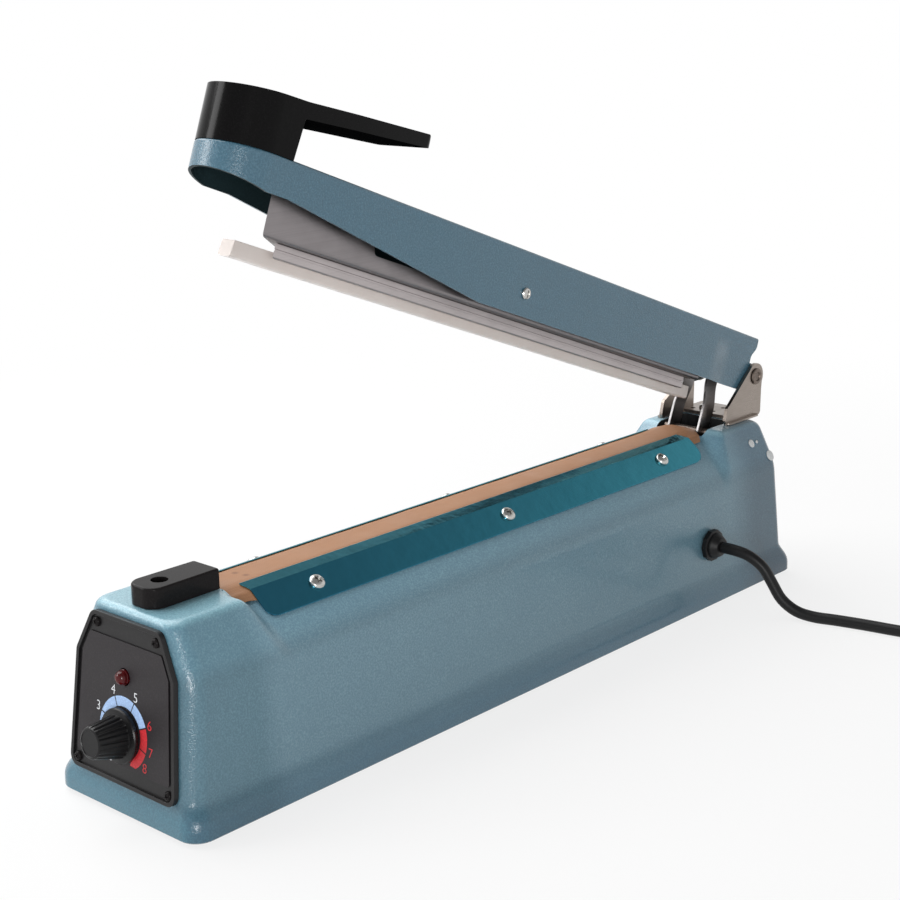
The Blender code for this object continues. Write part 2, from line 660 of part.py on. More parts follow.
def make_inner_pieces(root):
    """Transformer and limit switch body inside the housing."""
    floor = RABBET_DEPTH
    core = box((-28 * MM, 120 * MM, floor), (28 * MM, 150 * MM, floor + 47 * MM))
    for side in (1, -1):
        near, far = sorted((side * 8 * MM, side * 20 * MM))
        carve(core, box((near, 110 * MM, floor + 9 * MM), (far, 160 * MM, floor + 38 * MM)))
    piece("transformer_core", core, "core_steel", root)
    low, high = floor + 9 * MM + SEAT_GAP, floor + 38 * MM - SEAT_GAP
    winding = box((-20 * MM + SEAT_GAP, 109 * MM, low), (20 * MM - SEAT_GAP, 161 * MM, high))
    limb = 8 * MM + SEAT_GAP
    carve(winding, box((-limb, 120 * MM - SEAT_GAP, 0.0), (limb, 150 * MM + SEAT_GAP, 100 * MM)))
    piece("transformer_winding", winding, "copper_winding", root)
    body = box((-17 * MM, 391 * MM, 49 * MM), (-9.4 * MM, 408.4 * MM, SWITCH_LEVER_Z - 1.5 * MM))
    piece("switch_body", body, "black_plastic", root)


def make_bed_pieces(root):
    """Element bar, insulation, ribbon, terminals and the coated cloth over them."""
    half = BED_HALF_WIDTH - 0.4 * MM
    base = POCKET_FLOOR + SEAT_GAP
    top = DECK_HEIGHT - 1.9 * MM
    front = POCKET_FRONT + TERMINAL_LENGTH + 2 * SEAT_GAP
    rear = POCKET_REAR - TERMINAL_LENGTH - 2 * SEAT_GAP
    right = [(half, base), (half, top - 1.9 * MM), (BED_FLAT_HALF_WIDTH, top)]
    bar = prism(right + [(-x, z) for x, z in reversed(right)], "Y", front, rear)
    piece("element_bar", bar, "mill_aluminium", root)
    strip_low = top + SEAT_GAP
    strip_high = strip_low + INSULATION_THICKNESS
    strip = box((-INSULATION_WIDTH / 2, front, strip_low), (INSULATION_WIDTH / 2, rear, strip_high))
    piece("insulation_strip", strip, "coated_cloth", root)
    ribbon_low = strip_high + SEAT_GAP
    ribbon = box((-RIBBON_WIDTH / 2, POCKET_FRONT + MM, ribbon_low),
                 (RIBBON_WIDTH / 2, POCKET_REAR - MM, ribbon_low + RIBBON_THICKNESS))
    piece("heating_element", ribbon, "plated_steel", root)
    ends = (("front", POCKET_FRONT + SEAT_GAP), ("rear", POCKET_REAR - SEAT_GAP - TERMINAL_LENGTH))
    for name, start in ends:
        block = box((-5 * MM, start, base), (5 * MM, start + TERMINAL_LENGTH, strip_high))
        piece(f"element_terminal_{name}", soften(block, 0.4 * MM, 1), "brass", root)
    piece("ptfe_cover", make_cloth(), "coated_cloth", root)


def make_cloth():
    """Cloth that lies flat over the bed and breaks down onto both shoulders between the clamp ends."""
    under = DECK_HEIGHT - CLOTH_THICKNESS
    rest = SEAT_GAP * math.hypot(1.0, SHOULDER_SLOPE) - CLAMP_SEAT_DEPTH
    wing = BED_HALF_WIDTH + CLOTH_WING
    lower = [(wing, shoulder(wing) + rest), (BED_HALF_WIDTH, shoulder(BED_HALF_WIDTH) + rest)]
    lower.append((BED_FLAT_HALF_WIDTH, under))
    upper = [(x, z + CLOTH_THICKNESS) for x, z in reversed(lower)]
    lower_left = [(-x, z) for x, z in reversed(lower)]
    upper_left = [(-x, z) for x, z in reversed(upper)]
    cloth = prism(lower + lower_left + upper_left + upper, "Y", CLAMP_FRONT, CLAMP_FRONT + CLAMP_LENGTH)
    strip = box((-BED_FLAT_HALF_WIDTH, CLOTH_FRONT, under), (BED_FLAT_HALF_WIDTH, CLOTH_REAR, DECK_HEIGHT))
    return carve(cloth, strip, operation="UNION")


def clamp_plate(side):
    """A folded plate with rounded lower corners, skinned outside and thickened inwards."""
    fold_z = clamp_surface(CLAMP_FOLD)
    edge_z = DECK_HEIGHT + SEAT_GAP + CLAMP_THICKNESS
    slope = math.hypot(1.0, SHOULDER_SLOPE)
    length = (CLAMP_LOWER_EDGE - CLAMP_FOLD) * slope
    rows = [(CLAMP_INNER_EDGE, edge_z, 0.0), (CLAMP_FOLD, fold_z, 0.0)]
    for angle in (0, 18, 36, 54, 72, 90):
        turn = math.radians(angle)
        down = length - CLAMP_CORNER * (1 - math.sin(turn))
        out = CLAMP_FOLD + down / slope
        rows.append((out, clamp_surface(out), CLAMP_CORNER * (1 - math.cos(turn))))
    bm = bmesh.new()
    pairs = []
    for x, z, trim in rows:
        ends = (CLAMP_FRONT + trim, CLAMP_FRONT + CLAMP_LENGTH - trim)
        pairs.append([bm.verts.new((side * x, y, z)) for y in ends])
    for upper, lower in zip(pairs, pairs[1:]):
        bm.faces.new((upper[0], upper[1], lower[1], lower[0]))
    bmesh.ops.recalc_face_normals(bm, faces=bm.faces)
    if bm.faces[:][0].normal.z < 0:
        bmesh.ops.reverse_faces(bm, faces=bm.faces)
    bmesh.ops.solidify(bm, geom=bm.faces[:], thickness=CLAMP_THICKNESS)
    return raw_object(bm)


def screw_on_slope(side, y):
    """A pan head screw standing square on a clamp plate."""
    head = [(0.0, -0.7 * MM), (1.5 * MM, -0.7 * MM), (1.5 * MM, SEAT_GAP), (3.5 * MM, SEAT_GAP)]
    head += [(3.3 * MM, 1.3 * MM), (2.2 * MM, 2.1 * MM), (0.0, 2.4 * MM)]
    screw = turned(head, 14)
    screw.location = (side * CLAMP_SCREW_OUT, y, clamp_surface(CLAMP_SCREW_OUT))
    screw.rotation_euler = (0.0, side * math.atan(SHOULDER_SLOPE), 0.0)
    return screw


def make_clamp_pieces(root):
    """Clamp plates and their screws on both shoulders."""
    number = 0
    for name, side in (("right", 1), ("left", -1)):
        plate = clamp_plate(side)
        for index in range(3):
            number += 1
            y = CLAMP_SCREW_FIRST + CLAMP_SCREW_PITCH * index
            drill = rod("Z", (0.0, 0.0), 1.8 * MM, -4 * MM, 4 * MM)
            screw = screw_on_slope(side, y)
            drill.location, drill.rotation_euler = screw.location, screw.rotation_euler
            carve(plate, drill)
            piece(f"clamp_screw_{number}", screw, "plated_steel", root)
        piece(f"clamp_plate_{name}", plate, "blue_anodised", root)


def make_stop_pieces(root):
    """Stop block on the deck and the screw down its counterbore."""
    low = DECK_HEIGHT + SEAT_GAP
    front_half = STOP_HALF_WIDTH + 0.6 * MM
    outline = rounded([(-front_half, STOP_FRONT), (front_half, STOP_FRONT),
                       (STOP_HALF_WIDTH, STOP_REAR), (-STOP_HALF_WIDTH, STOP_REAR)],
                      (6.5 * MM, 6.5 * MM, 2.0 * MM, 2.0 * MM))
    block = prism(outline, "Z", low, STOP_TOP)
    soften_top_edges(block, STOP_TOP, 0.8 * MM)
    carve(block, rod("Z", (0.0, STOP_SCREW), 3.4 * MM, low + 2.6 * MM, STOP_TOP + MM, 16))
    carve(block, rod("Z", (0.0, STOP_SCREW), 1.9 * MM, 0.0, STOP_TOP - 2 * MM))
    piece("stop_block", block, "black_plastic", root)
    seat = low + 2.6 * MM + SEAT_GAP
    head = [(0.0, low + 0.5 * MM), (1.5 * MM, low + 0.5 * MM), (1.5 * MM, seat), (3.0 * MM, seat)]
    head += [(2.8 * MM, seat + 1.2 * MM), (0.0, seat + 1.8 * MM)]
    piece("stop_block_screw", turned(head, 14, (0.0, STOP_SCREW)), "plated_steel", root)


def ear_outline():
    """One bracket ear in side view: a wing that narrows up to the eye round the pin."""
    low = DECK_HEIGHT + SEAT_GAP
    eye = arc((PIN_Y, PIN_Z), BRACKET_EYE, -30.0, 140.0, 8)
    foot = rounded([(BRACKET_FRONT, low), (BRACKET_REAR, low), (BRACKET_REAR + 0.4 * MM, PIN_Z - 8 * MM),
                    (BRACKET_FRONT + 2.5 * MM, low + 9.5 * MM)], (2 * MM, 2 * MM, 0.0, 2 * MM), 2)
    return foot[:-3] + eye + foot[-3:]


def make_bracket_pieces(root):
    """Hinge bracket, its screws and the hinge pin."""
    low = DECK_HEIGHT + SEAT_GAP
    inner = BRACKET_HALF_WIDTH - BRACKET_SHEET
    far_corner = (BRACKET_HALF_WIDTH, BRACKET_REAR - MM, low + BRACKET_SHEET)
    bracket = box((-BRACKET_HALF_WIDTH, BRACKET_BASE_FRONT, low), far_corner)
    for side in (1, -1):
        near, far = sorted((side * inner, side * BRACKET_HALF_WIDTH))
        carve(bracket, prism(ear_outline(), "X", near, far), operation="UNION")
    carve(bracket, rod("X", (PIN_Y, PIN_Z), PIN_RADIUS + SEAT_GAP, -30 * MM, 30 * MM, 16))
    seat = low + BRACKET_SHEET + SEAT_GAP
    for index, side in enumerate((1, -1), start=1):
        place = (side * BRACKET_SCREW_OUT, BRACKET_SCREW_Y)
        carve(bracket, rod("Z", place, 1.9 * MM, 0.0, seat + MM))
        head = [(0.0, low + 0.2 * MM), (1.5 * MM, low + 0.2 * MM), (1.5 * MM, seat), (3.2 * MM, seat)]
        head += [(3.0 * MM, seat + 1.1 * MM), (1.8 * MM, seat + 1.8 * MM), (0.0, seat + 2.0 * MM)]
        piece(f"bracket_screw_{index}", turned(head, 14, place), "plated_steel", root)
    piece("hinge_bracket", bracket, "plated_steel", root)
    collar = BRACKET_HALF_WIDTH + SEAT_GAP
    tip = collar + 1.4 * MM
    right = [(4.2 * MM, collar), (4.0 * MM, tip - 0.4 * MM), (2.4 * MM, tip), (0.0, tip)]
    left = [(radius, -height) for radius, height in reversed(right)]
    profile = left + [(PIN_RADIUS, -collar), (PIN_RADIUS, collar)] + right
    piece("hinge_pin", turned(profile, 16, (PIN_Y, PIN_Z), "X"), "plated_steel", root)


def arm_plan(margin):
    """The arm from above in (x, y): parallel sides and a half-round nose, drawn in by a margin."""
    half = ARM_HALF_WIDTH - margin
    nose = arc((0.0, -ARM_NOSE_CENTRE), half, 0.0, -180.0, 14)
    return [(half, 12 * MM)] + nose + [(-half, 12 * MM)]


def arm_side():
    """The arm from the side in (y, z): straight top, rising lower edge and rear lugs on the pin."""
    lug = arc((0.0, 0.0), ARM_LUG_RADIUS, -60.0, 90.0, 8) + [(-ARM_REAR, ARM_LUG_RADIUS)]
    below = [(-9 * MM, -ARM_SKIRT), (-ARM_RISE_START, -ARM_SKIRT), (-ARM_RISE_END, -ARM_NOSE_EDGE)]
    front = -(ARM_NOSE_CENTRE + ARM_HALF_WIDTH + 5 * MM)
    nose = [(-ARM_NOSE_CENTRE, -ARM_NOSE_EDGE), (front, -ARM_TIP_EDGE), (front, -ARM_TOP)]
    return below + nose + [(-ARM_REAR, -ARM_TOP)] + lug[::-1]


def pinch_cutter(side, margin):
    """Removes the rear lower wall of the arm, so that its cheeks pass between the bracket ears."""
    near = ARM_PINCH_HALF_WIDTH - margin
    blend = 10 * MM
    start, end = -ARM_PINCH_END + blend - margin, -ARM_PINCH_END - blend - margin
    outline = [(near, 20 * MM), (near, start), (near + blend, end)]
    outline += [(near + 2 * blend, end), (near + 2 * blend, 20 * MM)]
    return prism([(side * x, y) for x, y in outline], "Z", -40 * MM, -ARM_PINCH_TOP + margin)


def make_arm_cover():
    """Folded sheet cover: an outer form cut by an inner one a sheet thinner, open below and behind."""
    outer = prism(arm_plan(0.0), "Z", -ARM_SKIRT - MM, -ARM_TOP)
    soften_top_edges(outer, -ARM_TOP, 2.0 * MM)
    inner = prism(arm_plan(ARM_SHEET), "Z", -40 * MM, -ARM_TOP - ARM_SHEET)
    for side in (1, -1):
        carve(outer, pinch_cutter(side, 0.0))
        carve(inner, pinch_cutter(side, ARM_SHEET))
    carve(outer, prism(arm_side(), "X", -40 * MM, 40 * MM), operation="INTERSECT")
    carve(outer, inner)
    carve(outer, rod("X", (0.0, 0.0), PIN_RADIUS + SEAT_GAP, -30 * MM, 30 * MM, 16))
    for s, n, radius in ((BAR_PIVOT_S, BAR_PIVOT_N, BAR_PIVOT_RADIUS), (LINK_S, LINK_N, LINK_PIN_RADIUS)):
        carve(outer, rod("X", (-s, -n), radius + SEAT_GAP, -30 * MM, 30 * MM))
    return outer


def soften_top_edges(obj, height, width):
    """Round the edges that run round a top face at a height."""
    bm = bmesh.new()
    bm.from_mesh(obj.data)
    edges = [edge for edge in bm.edges if all(abs(vert.co.z - height) < 1e-6 for vert in edge.verts)]
    bmesh.ops.bevel(bm, geom=edges, offset=width, segments=3, profile=0.5, affect="EDGES")
    bm.to_mesh(obj.data)
    bm.free()


def make_handle():
    """Lever handle: a block on the nose and a grip that points back over a finger gap."""
    front = -(ARM_NOSE_CENTRE + ARM_HALF_WIDTH + 3 * MM)
    foot = -ARM_TOP + SEAT_GAP
    side = [(front, foot), (-HANDLE_BACK, foot), (-HANDLE_BACK + 1.5 * MM, -HANDLE_UNDER_ROOT)]
    side += [(-HANDLE_TIP, -HANDLE_UNDER_TIP), (-HANDLE_TIP - 1.5 * MM, -HANDLE_TOP_TIP)]
    side += [(-HANDLE_KNEE, -HANDLE_TOP_KNEE), (front, -HANDLE_TOP_FRONT)]
    radii = (0.0, 0.0, 1.2 * MM, 1.5 * MM, 1.5 * MM, 40 * MM, 0.0)
    grip = prism(rounded(side, radii, 3), "X", -30 * MM, 30 * MM)
    half = ARM_HALF_WIDTH - 0.1 * MM
    nose = arc((0.0, -ARM_NOSE_CENTRE), half, 0.0, -180.0, 14)
    tip = -HANDLE_TIP + MM
    tail = rounded([(-half, -330 * MM), (-HANDLE_TIP_HALF_WIDTH, tip), (HANDLE_TIP_HALF_WIDTH, tip),
                    (half, -330 * MM)], (0.0, 6 * MM, 6 * MM, 0.0), 5)
    plan = prism(nose + tail, "Z", 0.0, 80 * MM)
    carve(grip, plan, operation="INTERSECT")
    return soften(grip, 1.4 * MM, 2, 50.0)


def mitre_cutter(front, half_width):
    """Removes what lies ahead of a slanting front end, longest on the +X side."""
    margin, ahead = 2 * MM, -430 * MM
    reach = half_width + margin
    near = -front - margin * BAR_MITRE
    far = near + 2 * reach * BAR_MITRE
    outline = [(reach, near), (-reach, far), (-reach, ahead), (reach, ahead)]
    return prism(outline, "Z", -40 * MM, 40 * MM)


def make_bar_channel():
    """Press bar channel: a folded U, tall at the front and at its pivot."""
    profile = [(-BAR_REAR, -BAR_WEB), (-BAR_REAR, -BAR_LOW), (-188 * MM, -BAR_LOW), (-191 * MM, -BAR_TALL),
               (-219 * MM, -BAR_TALL), (-222 * MM, -BAR_LOW), (-297 * MM, -BAR_LOW), (-301 * MM, -BAR_TALL),
               (-BAR_FRONT, -BAR_TALL), (-BAR_FRONT, -BAR_WEB)]
    channel = prism(profile, "X", -BAR_HALF_WIDTH, BAR_HALF_WIDTH)
    inner = BAR_HALF_WIDTH - BAR_SHEET
    carve(channel, box((-inner, -400 * MM, -BAR_WEB + BAR_SHEET), (inner, 0.0, 30 * MM)))
    carve(channel, mitre_cutter(BAR_FRONT, BAR_HALF_WIDTH))
    carve(channel, rod("X", (-BAR_PIVOT_S, -BAR_PIVOT_N), BAR_PIVOT_RADIUS + SEAT_GAP, -30 * MM, 30 * MM))
    return channel


def make_arm_pieces(arm, bar):
    """Arm cover, handle and pins, and the rocking press bar with its rubber."""
    piece("arm_cover", make_arm_cover(), "hammer_paint", arm)
    piece("handle", make_handle(), "black_plastic", arm)
    collar = ARM_HALF_WIDTH + SEAT_GAP
    right = [(3.4 * MM, collar), (3.1 * MM, collar + 0.9 * MM)]
    right += [(1.8 * MM, collar + 1.4 * MM), (0.0, collar + 1.5 * MM)]
    left = [(radius, -height) for radius, height in reversed(right)]
    profile = left + [(BAR_PIVOT_RADIUS, -collar), (BAR_PIVOT_RADIUS, collar)] + right
    pivot = turned(profile, 14, (-BAR_PIVOT_S, -BAR_PIVOT_N), "X")
    piece("press_bar_pivot", pivot, "plated_steel", arm)
    reach = ARM_PINCH_HALF_WIDTH + 0.3 * MM
    piece("link_pin", rod("X", (-LINK_S, -LINK_N), LINK_PIN_RADIUS, -reach, reach), "plated_steel", arm)

    to_bar = Vector((0.0, BAR_PIVOT_S, BAR_PIVOT_N))
    channel = make_bar_channel()
    top = -BAR_WEB - SEAT_GAP
    carrier = box((-CARRIER_HALF_WIDTH, -CARRIER_FRONT, -CARRIER_BASE),
                  (CARRIER_HALF_WIDTH, -CARRIER_REAR, top))
    slot = STRIP_HALF_WIDTH + SEAT_GAP
    carve(carrier, box((-slot, -400 * MM, -CARRIER_BASE - MM), (slot, 0.0, -STRIP_TOP + SEAT_GAP)))
    carve(carrier, mitre_cutter(CARRIER_FRONT, CARRIER_HALF_WIDTH))
    strip = box((-STRIP_HALF_WIDTH, -STRIP_FRONT, -STRIP_BASE), (STRIP_HALF_WIDTH, -STRIP_REAR, -STRIP_TOP))
    soften(strip, 0.8 * MM, 1)
    for name, obj, finish in (("press_bar_channel", channel, "plated_steel"),
                              ("rubber_carrier", carrier, "mill_aluminium"),
                              ("silicone_strip", strip, "clear_silicone")):
        obj.data.transform(Matrix.Translation(to_bar))
        piece(name, obj, finish, bar)


def link_strip(side):
    """A flat link that steps outwards below the arm, with rounded ends and an eye at each."""
    rings = []
    ends = ((-5.0, 2.2), (-4.0, 3.9), (-1.5, 4.8), (12.0, 4.8), (16.0, 4.8),
            (LINK_REACH / MM + 1.5, 4.8), (LINK_REACH / MM + 4.0, 3.9), (LINK_REACH / MM + 5.0, 2.2))
    for down, half in ends:
        out = LINK_UPPER_OUT if down <= 12.0 else LINK_LOWER_OUT
        near, far = side * out - LINK_THICKNESS / 2, side * out + LINK_THICKNESS / 2
        half_width = half * MM
        ring = [(near, -half_width), (far, -half_width), (far, half_width), (near, half_width)]
        rings.append([(x, y, -down * MM) for x, y in ring])
    strip = loft(rings)
    for down in (0.0, LINK_REACH):
        carve(strip, rod("X", (0.0, -down), LINK_PIN_HOLE, -20 * MM, 20 * MM))
    return strip


def make_link_pieces(link):
    """Both links and the cross pin that bears on the spring and the switch lever."""
    for name, side in (("right", 1), ("left", -1)):
        piece(f"link_{name}", link_strip(side), "plated_steel", link)
    cross = rod("X", (0.0, -LINK_REACH), LINK_PIN_RADIUS, -14 * MM, 14 * MM)
    piece("link_cross_pin", cross, "plated_steel", link)


def swept_tube(name, points, radius, finish, parent, resolution):
    """A round tube along a row of points, with filled caps."""
    curve = bpy.data.curves.new(name, "CURVE")
    curve.dimensions = "3D"
    curve.bevel_depth = radius
    curve.bevel_resolution = resolution
    curve.use_fill_caps = True
    spline = curve.splines.new("POLY")
    spline.points.add(len(points) - 1)
    for spot, point in zip(spline.points, points):
        spot.co = (*point, 1.0)
    obj = bpy.data.objects.new(name, curve)
    bpy.context.scene.collection.objects.link(obj)
    return piece(name, obj, finish, parent)


def least_gap(points, radius):
    """Least clear distance between parts of a tube that aren't neighbours along it."""
    reach = 4 * radius
    path = [Vector(point) for point in points]
    travelled = [0.0]
    for before, after in zip(path, path[1:]):
        travelled.append(travelled[-1] + (after - before).length)
    least = math.inf
    for index, point in enumerate(path):
        for other in range(index + 1, len(path)):
            if travelled[other] - travelled[index] > reach:
                least = min(least, (path[other] - point).length)
    return least - 2 * radius


def make_spring_pieces(root, link_foot_y):
    """Return spring on its guide post, under the links' cross pin."""
    centre = (0.0, link_foot_y)
    floor = RABBET_DEPTH
    profile = [(0.0, floor), (9 * MM, floor), (9 * MM, floor + 2 * MM), (5 * MM, floor + 4 * MM)]
    profile += [(5 * MM, SPRING_SEAT - 3 * MM), (7.5 * MM, SPRING_SEAT - 2 * MM), (7.5 * MM, SPRING_SEAT)]
    profile += [(3 * MM, SPRING_SEAT), (3 * MM, 57 * MM), (0.0, 58 * MM)]
    piece("spring_guide", turned(profile, 16, centre), "plated_steel", root)
    low, high = SPRING_SEAT + SPRING_WIRE + SEAT_GAP, SPRING_TOP
    count = SPRING_TURNS * 10
    points = []
    for step in range(count + 1):
        angle = 2 * math.pi * SPRING_TURNS * step / count
        points.append((SPRING_RADIUS * math.cos(angle), centre[1] + SPRING_RADIUS * math.sin(angle),
                       mix(low, high, step / count)))
    swept_tube("return_spring", points, SPRING_WIRE, "plated_steel", root, 1)
    print(f"return_spring least gap to itself: {least_gap(points, SPRING_WIRE) / MM:.2f} mm")


def make_switch_lever(lever):
    """Spring lever of the limit switch, curled at the tip that follows the cross pin."""
    tip = Vector((SWITCH_TIP_Y - SWITCH_LEVER_Y, SWITCH_TIP_Z - SWITCH_LEVER_Z))
    along = tip.normalized()
    across = Vector((-along.y, along.x))
    half = 0.4 * MM
    start = along * 0.9 * MM
    outline = [start + across * half, tip - along * MM + across * half]
    outline += [tip - along * MM - across * half, start - across * half]
    low, high = -14 * MM, -10.6 * MM
    blade = prism([tuple(point) for point in outline], "X", low, high)
    carve(blade, rod("X", (0.0, 0.0), 1.2 * MM, low, high), operation="UNION")
    carve(blade, rod("X", tuple(tip), 1.1 * MM, low, high), operation="UNION")
    piece("switch_lever", blade, "plated_steel", lever)


def smooth_route(route, spacing):
    """Even points on a smooth curve through a route's own points, with its straight first and last legs."""
    path = [Vector(point) for point in route]
    fine = []
    for before, start, end, after in zip(path, path[1:], path[2:], path[3:]):
        for step in range(20):
            t = step / 20
            square = 2 * before - 5 * start + 4 * end - after
            cube = 3 * start - before - 3 * end + after
            fine.append(0.5 * (2 * start + (end - before) * t + square * t ** 2 + cube * t ** 3))
    fine.append(path[-2])
    travelled = [0.0]
    for before, after in zip(fine, fine[1:]):
        travelled.append(travelled[-1] + (after - before).length)
    count = round(travelled[-1] / spacing)
    points, cursor = [], 0
    for step in range(count + 1):
        target = travelled[-1] * step / count
        while cursor < len(fine) - 2 and travelled[cursor + 1] < target:
            cursor += 1
        share = (target - travelled[cursor]) / (travelled[cursor + 1] - travelled[cursor])
        points.append(fine[cursor].lerp(fine[cursor + 1], min(share, 1.0)))
    return [path[0]] + points + [path[-1]]


def coil_points():
    """Two piled layers: in along the table, a climb, and out again on top, with straight ends."""
    total = 2 * COIL_LAYER_TURNS + COIL_CLIMB_TURNS
    count = round(total * COIL_POINTS_PER_TURN)
    points = []
    for step in range(count + 1):
        turn = total * step / count
        radius = COIL_OUTER - COIL_PITCH * min(turn, total - turn)
        climb = min(max((turn - COIL_LAYER_TURNS) / COIL_CLIMB_TURNS, 0.0), 1.0)
        height = mix(COIL_LOW, COIL_HIGH, climb * climb * (3 - 2 * climb))
        angle = -math.pi / 2 + 2 * math.pi * turn
        points.append(Vector((COIL_X + radius * math.cos(angle), COIL_Y + radius * math.sin(angle), height)))
    first = points[0] - Vector((2 * CORD_RADIUS, 0.0, 0.0))
    last = points[-1] + Vector((0.0, COIL_TAIL, 0.0))
    return [first] + points + [last]


def make_plug(start):
    """Moulded earthed plug lying on its side: tapered relief, waisted body, two blades and a round pin."""
    sections = ((0.0, 3.9, 3.9, 1.9), (17.0, 5.6, 5.4, 2.6), (19.0, 8.0, 7.0, 3.0), (26.0, 11.6, 9.0, 4.0),
                (34.0, 12.6, 9.6, 4.0), (47.0, 13.0, 9.8, 4.0), (49.0, 12.2, 9.0, 4.0))
    rings = []
    for along, half_width, half_height, corner in sections:
        x, z = half_width * MM, half_height * MM
        ring = rounded([(-x, -z), (x, -z), (x, z), (-x, z)], corner * MM, 3)
        rings.append([(start[0] + x, start[1] + along * MM, start[2] + z) for x, z in ring])
    plug = loft(rings)
    face = start[1] + 48 * MM
    for side in (1, -1):
        low = (start[0] + side * 6.3 * MM - 0.8 * MM, face, start[2] - 6.5 * MM)
        high = (start[0] + side * 6.3 * MM + 0.8 * MM, face + 18 * MM, start[2] - 0.2 * MM)
        carve(plug, box(low, high), operation="UNION")
    earth = rod("Y", (start[0], start[2] + 5.6 * MM), 2.3 * MM, face, face + 21 * MM)
    return carve(plug, earth, operation="UNION")


def make_cord_tie():
    """A flat band round all the turns, on the side of the coil that faces the sealer."""
    inner = COIL_OUTER - COIL_PITCH * (COIL_LAYER_TURNS + COIL_CLIMB_TURNS / 2) - CORD_RADIUS - 0.8 * MM
    outer = COIL_OUTER + CORD_RADIUS + 0.8 * MM
    low, high = TABLE + 0.1 * MM, COIL_HIGH + CORD_RADIUS + SEAT_GAP + 0.5 * MM
    skin = 0.5 * MM
    corners = [(COIL_X - outer, low), (COIL_X - inner, low), (COIL_X - inner, high), (COIL_X - outer, high)]
    start = COIL_Y - 3.5 * MM
    band = prism(rounded(corners, MM, 3), "Y", start, start + 7 * MM)
    hole = prism(rounded(inset(corners, skin), 0.6 * MM, 3), "Y", start - MM, start + 8 * MM)
    return carve(band, hole)


def make_cord_pieces(root):
    """Gland in the wall, free cord, coil, tie and plug."""
    neck, flange = 5.6 * MM, 8.0 * MM
    profile = [(0.0, 25 * MM), (7.0 * MM, 25 * MM), (7.0 * MM, 34 * MM), (neck, 34 * MM), (neck, 38.6 * MM)]
    profile += [(flange, 38.6 * MM), (flange, 41.4 * MM), (6.4 * MM, 42.8 * MM), (5.2 * MM, 44.6 * MM)]
    profile += [(4.2 * MM, GLAND_TIP), (0.0, GLAND_TIP)]
    piece("cable_gland", turned(profile, 18, (GLAND_Y, GLAND_Z), "X"), "black_rubber", root)
    swept_tube("mains_cord", smooth_route(CORD_ROUTE, 4 * CORD_RADIUS), CORD_RADIUS, "black_rubber", root, 2)
    points = coil_points()
    swept_tube("mains_cord_coil", points, CORD_RADIUS, "black_rubber", root, 1)
    print(f"mains_cord_coil least gap to itself: {least_gap(points, CORD_RADIUS) / MM:.2f} mm")
    piece("cord_tie", make_cord_tie(), "black_plastic", root)
    plug_start = points[-1] + Vector((0.0, SEAT_GAP, 0.0))
    piece("mains_plug", make_plug(plug_start), "black_rubber", root)


def build():
    """Make the carrying empties and hang every piece on them."""
    root = add_empty("sealer_frame", (0.0, -MIDDLE_FROM_FOOT, FOOT_PAD_DROP))
    panel_tilt = math.pi / 2 - math.atan(FRONT_LEAN)
    panel = add_empty("panel_frame", (0.0, FRONT_WALL, PANEL_FOOT), panel_tilt, root)
    dial = add_empty("dial_axis", (0.0, DIAL_HEIGHT, 0.0), 0.0, panel)
    arm = add_empty("arm_axis", (0.0, PIN_Y, PIN_Z), -OPEN_ANGLE, root)
    bar = add_empty("press_bar_axis", (0.0, -BAR_PIVOT_S, -BAR_PIVOT_N), 0.0, arm)
    link = add_empty("link_axis", (0.0, -LINK_S, -LINK_N), -LINK_LEAN, arm)
    lever = add_empty("switch_lever_axis", (0.0, SWITCH_LEVER_Y, SWITCH_LEVER_Z), 0.0, root)
    bpy.context.view_layer.update()
    link_foot = root.matrix_world.inverted() @ link.matrix_world @ Vector((0.0, 0.0, -LINK_REACH))

    make_base_pieces(root)
    make_panel_pieces(panel, dial)
    make_inner_pieces(root)
    make_bed_pieces(root)
    make_clamp_pieces(root)
    make_stop_pieces(root)
    make_bracket_pieces(root)
    make_arm_pieces(arm, bar)
    make_link_pieces(link)
    make_spring_pieces(root, link_foot.y)
    make_switch_lever(lever)
    make_cord_pieces(root)


clear_scene()
MATERIALS = make_materials()
build()
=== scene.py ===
"""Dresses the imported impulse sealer: finer meshes, printed dial, cloth, cord, finishes, light and camera."""
import logging
import math
from contextlib import contextmanager
from dataclasses import dataclass
from enum import Enum
from typing import Callable, Iterator, Sequence

import bmesh
import bpy
from mathutils import Matrix, Vector
from mathutils.geometry import intersect_line_line_2d


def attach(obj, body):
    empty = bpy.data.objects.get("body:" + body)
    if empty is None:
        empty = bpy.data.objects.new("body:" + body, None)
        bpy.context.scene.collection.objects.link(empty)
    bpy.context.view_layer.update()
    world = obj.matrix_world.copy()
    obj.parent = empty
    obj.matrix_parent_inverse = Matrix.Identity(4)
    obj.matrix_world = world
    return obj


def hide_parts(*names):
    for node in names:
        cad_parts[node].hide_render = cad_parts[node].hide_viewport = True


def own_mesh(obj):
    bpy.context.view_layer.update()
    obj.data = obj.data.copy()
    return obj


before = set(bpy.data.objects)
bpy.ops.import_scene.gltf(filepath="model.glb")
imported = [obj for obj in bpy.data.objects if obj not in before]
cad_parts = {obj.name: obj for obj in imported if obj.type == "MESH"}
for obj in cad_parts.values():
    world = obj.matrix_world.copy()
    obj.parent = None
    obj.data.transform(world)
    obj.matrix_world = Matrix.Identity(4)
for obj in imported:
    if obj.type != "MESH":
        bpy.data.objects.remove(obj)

LOG = logging.getLogger("sealer")
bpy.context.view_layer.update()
MM = 0.001
GAP = 0.3 * MM

